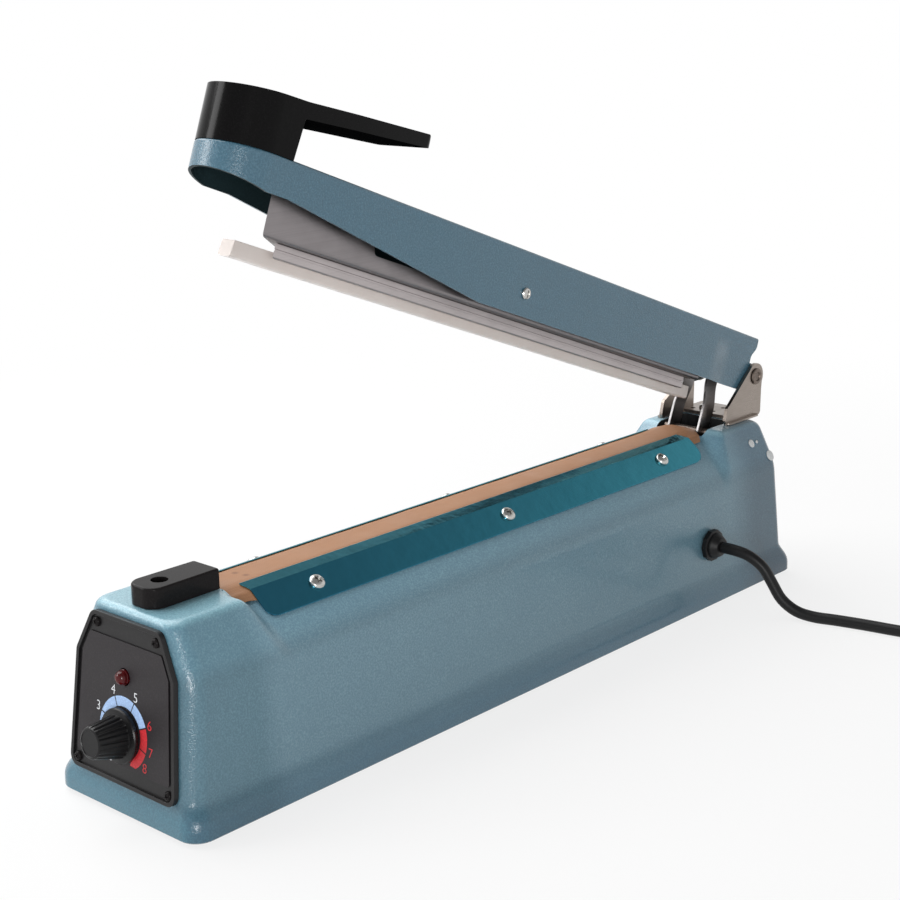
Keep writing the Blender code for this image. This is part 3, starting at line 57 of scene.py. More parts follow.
Point = tuple[float, float, float]
Flat = tuple[float, float]
Ring = Sequence[Point]
Obj = bpy.types.Object
Material = bpy.types.Material
Tree = bpy.types.NodeTree
Node = bpy.types.Node
Socket = bpy.types.NodeSocket
EdgeTest = Callable[[bmesh.types.BMEdge], bool]

# Spots and slopes that several pieces share, in the frame that each belongs to
GLAND_SPOT = (344.6 * MM, 30.7 * MM)
HINGE_SPOT = (414.8 * MM, 103.2 * MM)
LINK_SPOT = (-23.7 * MM, -1.5 * MM)
PIVOT_SPOT = (-205 * MM, 0.8 * MM)
STOP_HOLE = (0.0, 24.6 * MM)
LAMP_UP = 43.6 * MM
KNOB_UP = 20.4 * MM
SHOULDER_SLOPE = 0.8
CHAMFER_SLOPE = 0.526

# Half width and height of the crease under the housing's chamfer, in millimetres
CREASE = (36.0, 60.0)

# Frames that pieces are modelled in: the bench starts at the foot's front lower edge
OPEN_ANGLE = math.radians(20.3)
PANEL_LEAN = math.atan(0.11)
BENCH = Matrix.Translation((0.0, -202.955 * MM, 1.6 * MM))
ARM = BENCH @ Matrix.Translation((0.0, *HINGE_SPOT)) @ Matrix.Rotation(-OPEN_ANGLE, 4, "X")
LINK = ARM @ Matrix.Translation((0.0, *LINK_SPOT)) @ Matrix.Rotation(math.radians(-3.0), 4, "X")
PANEL_FOOT = Matrix.Translation((0.0, 2.2 * MM, 12.3 * MM))
PANEL = BENCH @ PANEL_FOOT @ Matrix.Rotation(math.pi / 2 - PANEL_LEAN, 4, "X")
DIAL = PANEL @ Matrix.Translation((0.0, KNOB_UP, 0.0))
PRINT = DIAL @ Matrix.Translation((0.4 * MM, 0.9 * MM, 0.0))


class Body(str, Enum):
    """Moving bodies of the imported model."""

    BASE = "base"
    KNOB = "knob"
    ARM = "arm"
    BAR = "press_bar"
    LINKS = "links"


class Axis(Enum):
    """Axis that an outline is raised along."""

    X = "X"
    Y = "Y"
    Z = "Z"

    def place(self, a: float, b: float, height: float) -> Point:
        """Put a flat point at a height along this axis."""
        return {"X": (height, a, b), "Y": (a, height, b), "Z": (a, b, height)}[self.value]


def select_only(obj: Obj) -> None:
    """Select one object and make it active."""
    bpy.ops.object.select_all(action="DESELECT")
    obj.select_set(True)
    bpy.context.view_layer.objects.active = obj


@contextmanager
def editing(obj: Obj) -> Iterator[None]:
    """Edit mode on one object, with all of it selected at the start.

    Args:
        obj: Mesh object to edit.
    """
    select_only(obj)
    bpy.ops.object.mode_set(mode="EDIT")
    bpy.ops.mesh.select_all(action="SELECT")
    yield
    bpy.ops.object.mode_set(mode="OBJECT")


def pick_edges(obj: Obj, test: EdgeTest) -> int:
    """Select edges of the edited mesh by a test.

    Args:
        obj: Object in edit mode.
        test: Says whether an edge is wanted.

    Returns:
        How many edges were selected.
    """
    bpy.ops.mesh.select_all(action="DESELECT")
    bpy.ops.mesh.select_mode(type="EDGE")
    mesh = bmesh.from_edit_mesh(obj.data)
    chosen = [edge for edge in mesh.edges if test(edge)]
    for edge in chosen:
        edge.select = True
    mesh.select_flush_mode()
    bmesh.update_edit_mesh(obj.data)
    return len(chosen)


def bevel_edges(obj: Obj, width: float, segments: int, test: EdgeTest) -> Obj:
    """Round the edges that pass a test.

    Args:
        obj: Object to change.
        width: Width of the rounding.
        segments: Steps in it.
        test: Says whether an edge is wanted.

    Returns:
        The same object.
    """
    with editing(obj):
        if pick_edges(obj, test):
            bpy.ops.mesh.bevel(offset=width, segments=segments, profile=0.5, affect="EDGES", clamp_overlap=True)
        bpy.ops.mesh.select_mode(type="VERT")
    return obj


def bend_over(limit: float) -> EdgeTest:
    """A test for edges whose faces meet at more than an angle in degrees."""
    return lambda edge: len(edge.link_faces) == 2 and edge.calc_face_angle(0.0) > math.radians(limit)


def above(level: float) -> EdgeTest:
    """A test for edges that lie above a height."""
    return lambda edge: all(vert.co.z > level for vert in edge.verts)


def mm(*points: Sequence[float]) -> list[tuple[float, ...]]:
    """Points that are given in millimetres."""
    return [tuple(part * MM for part in point) for point in points]


def oblong(left: float, low: float, right: float, high: float) -> list[Flat]:
    """Corners of a rectangle."""
    return [(left, low), (right, low), (right, high), (left, high)]


def mirrored(right: Sequence[Flat]) -> list[Flat]:
    """The right half of an outline, followed by its mirror image."""
    return list(right) + [(-across, up) for across, up in reversed(right)]


def two_headed(head: Sequence[Flat], core: float) -> list[Flat]:
    """A profile for turning, with the same head at both ends of a shaft."""
    start = head[0][1]
    other = [(radius, -height) for radius, height in reversed(head)]
    return other + [(core, -start), (core, start)] + list(head)


def loft(name: str, rings: Sequence[Ring]) -> Obj:
    """Raise a first ring through further rings by extruding its face, and close the foot.

    Args:
        name: Name of the new object.
        rings: Rings with equal counts of points.

    Returns:
        A closed mesh object.
    """
    bpy.ops.object.select_all(action="DESELECT")
    bpy.ops.mesh.primitive_circle_add(vertices=len(rings[0]), radius=1.0, fill_type="NGON")
    obj = bpy.context.active_object
    obj.name = obj.data.name = name
    for vert, point in zip(obj.data.vertices, rings[0]):
        vert.co = point
    with editing(obj):
        for ring in rings[1:]:
            bpy.ops.mesh.extrude_region_move()
            mesh = bmesh.from_edit_mesh(obj.data)
            top = next(face for face in mesh.faces if face.select)
            for vert, point in zip(top.verts, ring):
                vert.co = point
            bmesh.update_edit_mesh(obj.data)
        bpy.ops.mesh.select_all(action="DESELECT")
        bpy.ops.mesh.select_non_manifold(use_wire=False, use_multi_face=False, use_non_contiguous=False,
                                         use_verts=False)
        bpy.ops.mesh.edge_face_add()
        bpy.ops.mesh.select_all(action="SELECT")
        bpy.ops.mesh.normals_make_consistent(inside=False)
    return obj


def prism(name: str, outline: Sequence[Flat], axis: Axis, low: float, high: float) -> Obj:
    """Raise an outline along an axis.

    Args:
        name: Name of the new object.
        outline: Flat outline.
        axis: Axis that it is raised along.
        low: Start along the axis.
        high: End along the axis.

    Returns:
        A closed mesh object.
    """
    return loft(name, [[axis.place(a, b, level) for a, b in outline] for level in (low, high)])


def block(name: str, low: Point, high: Point) -> Obj:
    """A rectangular block between two corners, for cutting or bevelling."""
    return prism(name, oblong(*low[:2], *high[:2]), Axis.Z, low[2], high[2])


def turned(name: str, profile: Sequence[Flat], segments: int = 32, axis: Axis = Axis.Z,
           centre: Flat = (0.0, 0.0)) -> Obj:
    """Turn (radius, height) steps about an axis, ending in flat caps.

    Args:
        name: Name of the new object.
        profile: Radius and height of each step, from one end to the other.
        segments: Points round each step.
        axis: Axis of turning.
        centre: Place of the axis across it.

    Returns:
        A closed mesh object.
    """
    turns = [2 * math.pi * step / segments for step in range(segments)]
    rings = [[axis.place(centre[0] + radius * math.cos(turn), centre[1] + radius * math.sin(turn), height)
              for turn in turns] for radius, height in profile]
    return loft(name, rings)


def rod(axis: Axis, centre: Flat, radius: float, low: float, high: float, segments: int = 32) -> Obj:
    """A round rod, used to drill or as the start of a pin."""
    return turned("rod", [(radius, low), (radius, high)], segments, axis, centre)


def sheet_grid(name: str, columns: int, rows: int, shape: Callable[[float, float], Point]) -> Obj:
    """Lay a grid on a surface given by two shares from 0 to 1.

    Args:
        name: Name of the new object.
        columns: Faces along the first share.
        rows: Faces along the second share.
        shape: Gives the point at two shares.

    Returns:
        An open mesh object.
    """
    bpy.ops.object.select_all(action="DESELECT")
    bpy.ops.mesh.primitive_grid_add(x_subdivisions=columns, y_subdivisions=rows, size=1.0)
    obj = bpy.context.active_object
    obj.name = obj.data.name = name
    for vert in obj.data.vertices:
        vert.co = shape(vert.co.x + 0.5, vert.co.y + 0.5)
    return obj


def face_up(obj: Obj) -> Obj:
    """Turn the faces of an open sheet upwards."""
    with editing(obj):
        bpy.ops.mesh.normals_make_consistent(inside=False)
    if obj.data.polygons[len(obj.data.polygons) // 2].normal.z < 0:
        obj.data.flip_normals()
    return obj


def sliced(obj: Obj, cuts: Sequence[tuple[Point, float]]) -> Obj:
    """Add edges where planes cross a mesh.

    Args:
        obj: Object to change.
        cuts: Normal of each plane, and its distance from zero in millimetres.

    Returns:
        The same object.
    """
    with editing(obj):
        for normal, level in cuts:
            bpy.ops.mesh.select_all(action="SELECT")
            bpy.ops.mesh.bisect(plane_co=[part * level * MM for part in normal], plane_no=normal)
    return obj


def apply(obj: Obj, kind: str, **settings: object) -> Obj:
    """Add a modifier and apply it.

    Args:
        obj: Object to change.
        kind: Type of modifier.
        settings: Its values by name.

    Returns:
        The same object.
    """
    select_only(obj)
    modifier = obj.modifiers.new(kind.lower(), kind)
    for name, value in settings.items():
        setattr(modifier, name, value)
    bpy.ops.object.modifier_apply(modifier=modifier.name)
    return obj


def carve(obj: Obj, *tools: Obj, operation: str = "DIFFERENCE") -> Obj:
    """Cut, join or intersect with other shapes, which are used up.

    Args:
        obj: Object to change.
        tools: Shapes to use.
        operation: Boolean operation.

    Returns:
        The same object.
    """
    for tool in tools:
        apply(obj, "BOOLEAN", operation=operation, solver="EXACT", object=tool)
        bpy.data.objects.remove(tool, do_unlink=True)
    return obj


def joined(first: Obj, *others: Obj) -> Obj:
    """Join objects into the first one."""
    bpy.ops.object.select_all(action="DESELECT")
    for other in others:
        other.select_set(True)
    first.select_set(True)
    bpy.context.view_layer.objects.active = first
    bpy.ops.object.join()
    return first


def smoothed(obj: Obj, angle: float = 32.0) -> Obj:
    """Smooth shading up to an angle, weighted by face area so that flat faces stay flat."""
    select_only(obj)
    bpy.ops.object.shade_smooth_by_angle(angle=math.radians(angle))
    return apply(obj, "WEIGHTED_NORMAL", keep_sharp=True)


def settle(obj: Obj, name: str, material: Material, body: Body, place: Matrix = BENCH,
           replaces: Sequence[str] = (), smooth: float = 32.0) -> Obj:
    """Put a finished mesh in its place, give it its finish and hang it on its body.

    Args:
        obj: Finished object in its own frame.
        name: Name of the piece.
        material: Its finish.
        body: Body that it moves with.
        place: Frame that it was modelled in.
        replaces: CAD nodes that it stands for.
        smooth: Angle up to which it is shaded smooth, or 0 to leave it.

    Returns:
        The same object.
    """
    obj.data.transform(place)
    if smooth:
        smoothed(obj, smooth)
    obj.name = obj.data.name = name
    obj.data.materials.clear()
    obj.data.materials.append(material)
    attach(obj, body.value)
    if replaces:
        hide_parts(*replaces)
    LOG.info("%s: %d faces on %s", name, len(obj.data.polygons), body.value)
    return obj


def repaint(obj: Obj, material: Material, test: Callable[[bpy.types.MeshPolygon], bool]) -> None:
    """Give the faces that pass a test a second finish."""
    obj.data.materials.append(material)
    for face in obj.data.polygons:
        face.material_index = int(test(face))


def arc(centre: Flat, radius: float, start: float, end: float, steps: int = 12) -> list[Flat]:
    """Points on an arc, angles in degrees."""
    angles = [math.radians(start + (end - start) * step / steps) for step in range(steps + 1)]
    return [(centre[0] + radius * math.cos(a), centre[1] + radius * math.sin(a)) for a in angles]


def rounded(corners: Sequence[Flat], radii: float | Sequence[float], steps: int = 8) -> list[Flat]:
    """Replace the corners of an outline by arcs.

    Args:
        corners: Corner points in order.
        radii: One radius, or one for each corner.
        steps: Steps in each arc.

    Returns:
        The rounded outline.
    """
    points: list[Flat] = []
    for index, corner in enumerate(corners):
        here = Vector(corner)
        before = (Vector(corners[index - 1]) - here).normalized()
        after = (Vector(corners[(index + 1) % len(corners)]) - here).normalized()
        radius = radii if isinstance(radii, float) else radii[index]
        if radius <= 0.0:
            points.append((here.x, here.y))
            continue
        half = before.angle(after) / 2
        centre = here + (before + after).normalized() * radius / math.sin(half)
        start = here + before * radius / math.tan(half) - centre
        sweep = (math.pi - 2 * half) * (1 if before.cross(after) < 0 else -1)
        for step in range(steps + 1):
            spoke = start.copy()
            spoke.rotate(Matrix.Rotation(sweep * step / steps, 2))
            points.append((centre.x + spoke.x, centre.y + spoke.y))
    return points


def inset(outline: Sequence[Flat], distance: float) -> list[Flat]:
    """Move every side of a counter-clockwise outline inwards."""
    sides = []
    for index, point in enumerate(outline):
        start, end = Vector(point), Vector(outline[(index + 1) % len(outline)])
        along = (end - start).normalized()
        shift = Vector((-along.y, along.x)) * distance
        sides.append((start + shift - along, end + shift + along))
    meets = [intersect_line_line_2d(*sides[index - 1], *sides[index]) for index in range(len(sides))]
    return [(meet.x, meet.y) for meet in meets]


def mix(low: float, high: float, share: float) -> float:
    """A value part of the way from low to high."""
    return low + (high - low) * share


def ramp(value: float, start: float, end: float) -> float:
    """A smooth step from 0 at start to 1 at end."""
    share = min(max((value - start) / (end - start), 0.0), 1.0)
    return share * share * (3 - 2 * share)


def soft_low(first: float, second: float, reach: float) -> float:
    """The lower of two values, blended where they come within a reach of each other."""
    share = max(reach - abs(first - second), 0.0) / reach
    return min(first, second) - share * share * reach / 4


def put(tree: Tree, kind: str, inputs: dict[str | int, object] | None = None, **attributes: object) -> Node:
    """Add a shader node and wire or set its inputs.

    Args:
        tree: Tree to add it to.
        kind: Type of node.
        inputs: Values or output sockets by input name or number.
        attributes: Settings of the node.

    Returns:
        The new node.
    """
    node = tree.nodes.new(kind)
    for name, value in attributes.items():
        setattr(node, name, value)
    for name, value in (inputs or {}).items():
        if isinstance(value, Socket):
            tree.links.new(value, node.inputs[name])
        else:
            node.inputs[name].default_value = value
    return node


def wire(tree: Tree, node: Node, **sockets: Socket) -> None:
    """Link outputs to the inputs of a node, whose names are written with underscores."""
    for name, socket in sockets.items():
        tree.links.new(socket, node.inputs[name.replace("_", " ")])


def span(tree: Tree, value: Socket, low: float, high: float, start: Socket | float = 0.0,
         end: Socket | float = 1.0, smooth: bool = False) -> Socket:
    """Map a value from one range to another and keep it inside.

    Args:
        tree: Tree to add to.
        value: Socket of the value.
        low: Value that gives the start.
        high: Value that gives the end.
        start: Result at the low value.
        end: Result at the high value.
        smooth: Whether it starts and ends softly.

    Returns:
        The result's socket.
    """
    inputs = {"Value": value, "From Min": low, "From Max": high, "To Min": start, "To Max": end}
    way = "SMOOTHSTEP" if smooth else "LINEAR"
    return put(tree, "ShaderNodeMapRange", inputs, interpolation_type=way).outputs[0]


def maths(tree: Tree, way: str, first: Socket, second: Socket) -> Socket:
    """Join two values by an operation."""
    return put(tree, "ShaderNodeMath", {0: first, 1: second}, operation=way).outputs[0]


def noise(tree: Tree, where: Socket, scale: Socket | float, detail: float = 2.0, rough: float = 0.5) -> Socket:
    """Values of a noise texture."""
    inputs = {"Vector": where, "Scale": scale, "Detail": detail, "Roughness": rough}
    return put(tree, "ShaderNodeTexNoise", inputs).outputs["Fac"]


def blend_colours(tree: Tree, share: Socket | float, first: object, second: object, way: str = "MIX") -> Socket:
    """Mix two colours by a share.

    Args:
        tree: Tree to add to.
        share: Share of the second colour.
        first: Colour or socket at share 0.
        second: Colour or socket at share 1.
        way: Blend type.

    Returns:
        The mixed colour's socket.
    """
    node = put(tree, "ShaderNodeMix", {0: share, 6: first, 7: second}, data_type="RGBA", blend_type=way)
    return node.outputs[2]


def object_coords(tree: Tree) -> Socket:
    """Object coordinates."""
    return put(tree, "ShaderNodeTexCoord").outputs["Object"]


def new_group(name: str, inputs: dict[str, float], outputs: Sequence[str]) -> tuple[Tree, Node, Node]:
    """Start a shader node group with float sockets.

    Args:
        name: Name of the group.
        inputs: Default value of each input.
        outputs: Names of the outputs.

    Returns:
        The group, its input node and its output node.
    """
    group = bpy.data.node_groups.new(name, "ShaderNodeTree")
    for label, value in inputs.items():
        group.interface.new_socket(label, in_out="INPUT", socket_type="NodeSocketFloat").default_value = value
    for label in outputs:
        group.interface.new_socket(label, in_out="OUTPUT", socket_type="NodeSocketFloat")
    return group, put(group, "NodeGroupInput"), put(group, "NodeGroupOutput")


class Effects:
    """Node groups that several finishes share."""

    def __init__(self) -> None:
        """Build every group once."""
        self.hammer = self.make_hammer()
        self.smudge = self.make_smudge()
        self.brush = self.make_brush()
        self.grain = self.make_grain()

    @staticmethod
    def make_hammer() -> Tree:
        """Dimples and flakes of hammer paint."""
        group, given, out = new_group("hammer_dimples", {"Cells": 420.0, "Flakes": 900.0},
                                      ("Height", "Flake", "Cloud"))
        coords = object_coords(group)
        cells = put(group, "ShaderNodeTexVoronoi",
                    {"Vector": coords, "Scale": given.outputs["Cells"], "Smoothness": 0.6}, feature="SMOOTH_F1")
        peel = noise(group, coords, given.outputs["Flakes"], 3.0)
        dents = maths(group, "MULTIPLY", cells.outputs["Distance"], peel)
        wire(group, out, Height=maths(group, "ADD", dents, peel), Flake=span(group, peel, 0.42, 0.72),
             Cloud=noise(group, coords, 26.0, 3.0, 0.6))
        return group

    @staticmethod
    def make_smudge() -> Tree:
        """Slow change between two values, as of handled or wiped surfaces."""
        group, given, out = new_group("handling_smudge", {"Scale": 40.0, "Low": 0.25, "High": 0.4}, ("Value",))
        cloud = noise(group, object_coords(group), given.outputs["Scale"], 5.0, 0.65)
        wire(group, out, Value=span(group, cloud, 0.3, 0.7, given.outputs["Low"], given.outputs["High"]))
        return group

    @staticmethod
    def make_brush() -> Tree:
        """Fine drawn lines along a piece."""
        group, given, out = new_group("drawn_lines", {"Along": 20.0, "Across": 1800.0}, ("Height", "Streak"))
        across = given.outputs["Across"]
        stretch = put(group, "ShaderNodeCombineXYZ", {"X": across, "Y": given.outputs["Along"], "Z": across})
        scaled = put(group, "ShaderNodeVectorMath", {0: object_coords(group), 1: stretch.outputs[0]},
                     operation="MULTIPLY")
        lines = noise(group, scaled.outputs[0], 1.0, 4.0)
        wire(group, out, Height=lines, Streak=span(group, lines, 0.3, 0.75))
        return group

    @staticmethod
    def make_grain() -> Tree:
        """Fine even grain of moulded plastic or rubber."""
        group, given, out = new_group("moulded_grain", {"Scale": 1500.0}, ("Height", "Speck"))
        grain = noise(group, object_coords(group), given.outputs["Scale"])
        wire(group, out, Height=grain, Speck=span(group, grain, 0.45, 0.75))
        return group


EFFECTS = Effects()


def grouped(tree: Tree, group: Tree, **values: float) -> Node:
    """Place a shared group with its own values."""
    node = put(tree, "ShaderNodeGroup", node_tree=group)
    for name, value in values.items():
        node.inputs[name].default_value = value
    return node


def smudged(tree: Tree, scale: float, low: float, high: float) -> Socket:
    """A value that changes slowly between two limits."""
    return grouped(tree, EFFECTS.smudge, Scale=scale, Low=low, High=high).outputs["Value"]


def bumped(tree: Tree, height: Socket, strength: float, distance: float) -> Socket:
    """A normal from a height."""
    inputs = {"Height": height, "Strength": strength, "Distance": distance}
    return put(tree, "ShaderNodeBump", inputs).outputs["Normal"]


def new_material(name: str) -> tuple[Material, Tree, Node]:
    """Start a material and give its tree and Principled shader."""
    material = bpy.data.materials.new(name)
    material.use_nodes = True
    tree = material.node_tree
    return material, tree, tree.nodes["Principled BSDF"]


def set_values(shader: Node, **values: object) -> None:
    """Set plain shader inputs, written with underscores."""
    for name, value in values.items():
        shader.inputs[name.replace("_", " ").title().replace("Ior", "IOR")].default_value = value


def rgba(colour: Point) -> tuple[float, float, float, float]:
    """A colour with full alpha."""
    return (*colour, 1.0)


@dataclass(frozen=True)
class HammerPaint:
    """Blue-grey hammer paint: dimpled, with bright flakes under a clear gloss.

    Each fade gives an axis, its start and end in millimetres, and the colours at both; each one is painted light
    and shade along that axis.
    """

    name: str
    colour: Point
    flake: Point
    shade: Point
    depth: float = 0.4
    fades: tuple[tuple[str, float, float, Point, Point], ...] = ()

    def faded(self, tree: Tree, colour: Socket) -> Socket:
        """Paint light and shade into the colour: paler or deeper along the axes."""
        parts = put(tree, "ShaderNodeSeparateXYZ", {0: object_coords(tree)})
        for axis, start, end, first, last in self.fades:
            share = span(tree, parts.outputs[axis], start * MM, end * MM, smooth=True)
            light_tint = blend_colours(tree, share, rgba(first), rgba(last))
            colour = blend_colours(tree, 1.0, colour, light_tint, "MULTIPLY")
        return colour

    def make(self) -> Material:
        """Build the material."""
        material, tree, shader = new_material(self.name)
        dimples = grouped(tree, EFFECTS.hammer, Cells=420.0, Flakes=1400.0)
        base = blend_colours(tree, dimples.outputs["Flake"], rgba(self.colour), rgba(self.flake))
        cloud = span(tree, dimples.outputs["Cloud"], 0.35, 0.75, 0.0, 0.3)
        base = self.faded(tree, blend_colours(tree, cloud, base, rgba(self.shade)))
        wire(tree, shader, Base_Color=base, Roughness=smudged(tree, 35.0, 0.16, 0.26),
             Normal=bumped(tree, dimples.outputs["Height"], self.depth, 0.3 * MM))
        set_values(shader, coat_weight=0.2, coat_roughness=0.1)
        return material


@dataclass(frozen=True)
class Plastic:
    """Moulded plastic or rubber with a fine grain and handling marks."""

    name: str
    colour: Point
    rough: Flat
    grain: float = 0.06
    shine: float = 0.5

    def make(self) -> Material:
        """Build the material."""
        material, tree, shader = new_material(self.name)
        grain = grouped(tree, EFFECTS.grain)
        lighter = tuple(min(1.0, part * 1.35 + 0.002) for part in self.colour)
        base = blend_colours(tree, grain.outputs["Speck"], rgba(self.colour), rgba(lighter))
        wire(tree, shader, Base_Color=base, Roughness=smudged(tree, 55.0, *self.rough),
             Normal=bumped(tree, grain.outputs["Height"], self.grain, 0.2 * MM))
        set_values(shader, specular_ior_level=self.shine)
        return material


@dataclass(frozen=True)
class Metal:
    """Plated, drawn or brushed metal with streaks along the sealer."""

    name: str
    colour: Point
    streak: Point
    rough: Flat
    lines: float = 0.05
    along: float = 20.0

    def make(self) -> Material:
        """Build the material."""
        material, tree, shader = new_material(self.name)
        drawn = grouped(tree, EFFECTS.brush, Along=self.along)
        base = blend_colours(tree, drawn.outputs["Streak"], rgba(self.colour), rgba(self.streak))
        wire(tree, shader, Base_Color=base, Roughness=smudged(tree, 70.0, *self.rough),
             Normal=bumped(tree, drawn.outputs["Height"], self.lines, 0.1 * MM))
        set_values(shader, metallic=1.0)
        return material


@dataclass(frozen=True)
class Anodised:
    """Bright dyed aluminium, with painted shade that makes it deeper in colour towards the front."""

    name: str
    front: Point
    rear: Point
    rough: Flat = (0.12, 0.2)
    reach: Flat = (-145 * MM, 157 * MM)

    def make(self) -> Material:
        """Build the material."""
        material, tree, shader = new_material(self.name)
        along = put(tree, "ShaderNodeSeparateXYZ", {0: object_coords(tree)}).outputs["Y"]
        # Painted shade: the colour darkens from the rear towards the front along the plate.
        base = blend_colours(tree, span(tree, along, *self.reach), rgba(self.front), rgba(self.rear))
        wire(tree, shader, Base_Color=base, Roughness=smudged(tree, 45.0, *self.rough),
             Normal=bumped(tree, smudged(tree, 16.0, 0.0, 1.0), 0.25, 1.0 * MM))
        set_values(shader, metallic=1.0)
        return material


@dataclass(frozen=True)
class Cloth:
    """Tan coated glass cloth: a fine weave under a slick coating, with scorch spots at the front."""

    name: str
    colour: Point
    dark: Point
    scorch: Point
    threads: float = 260.0
    spots: tuple[Point, ...] = ()

    def make(self) -> Material:
        """Build the material."""
        material, tree, shader = new_material(self.name)
        coords = object_coords(tree)
        waves = [put(tree, "ShaderNodeTexWave", {"Vector": coords, "Scale": self.threads, "Distortion": 0.4},
                     wave_type="BANDS", bands_direction=way).outputs["Fac"] for way in ("X", "Y")]
        weave = maths(tree, "MULTIPLY", *waves)
        base = blend_colours(tree, weave, rgba(self.dark), rgba(self.colour))
        base = blend_colours(tree, smudged(tree, 60.0, 0.0, 0.7), base, rgba(self.colour))
        for spot in self.spots:
            near = put(tree, "ShaderNodeVectorMath", {0: coords, 1: spot}, operation="DISTANCE").outputs["Value"]
            mark = span(tree, near, 0.6 * MM, 1.9 * MM, 0.8, 0.0)
            base = blend_colours(tree, mark, base, rgba(self.scorch))
        wire(tree, shader, Base_Color=base, Roughness=smudged(tree, 45.0, 0.42, 0.6),
             Normal=bumped(tree, weave, 0.12, 0.1 * MM))
        set_values(shader, specular_ior_level=0.3)
        return material


@dataclass(frozen=True)
class Silicone:
    """Whitish silicone that lets some light in."""

    name: str
    colour: Point
    stain: Point

    def make(self) -> Material:
        """Build the material."""
        material, tree, shader = new_material(self.name)
        grain = grouped(tree, EFFECTS.grain, Scale=900.0)
        base = blend_colours(tree, smudged(tree, 30.0, 0.0, 0.5), rgba(self.colour), rgba(self.stain))
        wire(tree, shader, Base_Color=base, Normal=bumped(tree, grain.outputs["Height"], 0.05, 0.2 * MM))
        set_values(shader, roughness=0.38, subsurface_weight=0.25, subsurface_radius=(2 * MM, 2 * MM, 2 * MM))
        return material


@dataclass(frozen=True)
class Lens:
    """Dark red lamp lens with cloudy depth."""

    name: str
    colour: Point
    deep: Point

    def make(self) -> Material:
        """Build the material."""
        material, tree, shader = new_material(self.name)
        base = blend_colours(tree, smudged(tree, 260.0, 0.0, 1.0), rgba(self.colour), rgba(self.deep))
        wire(tree, shader, Base_Color=base)
        set_values(shader, roughness=0.12, specular_ior_level=0.3)
        return material


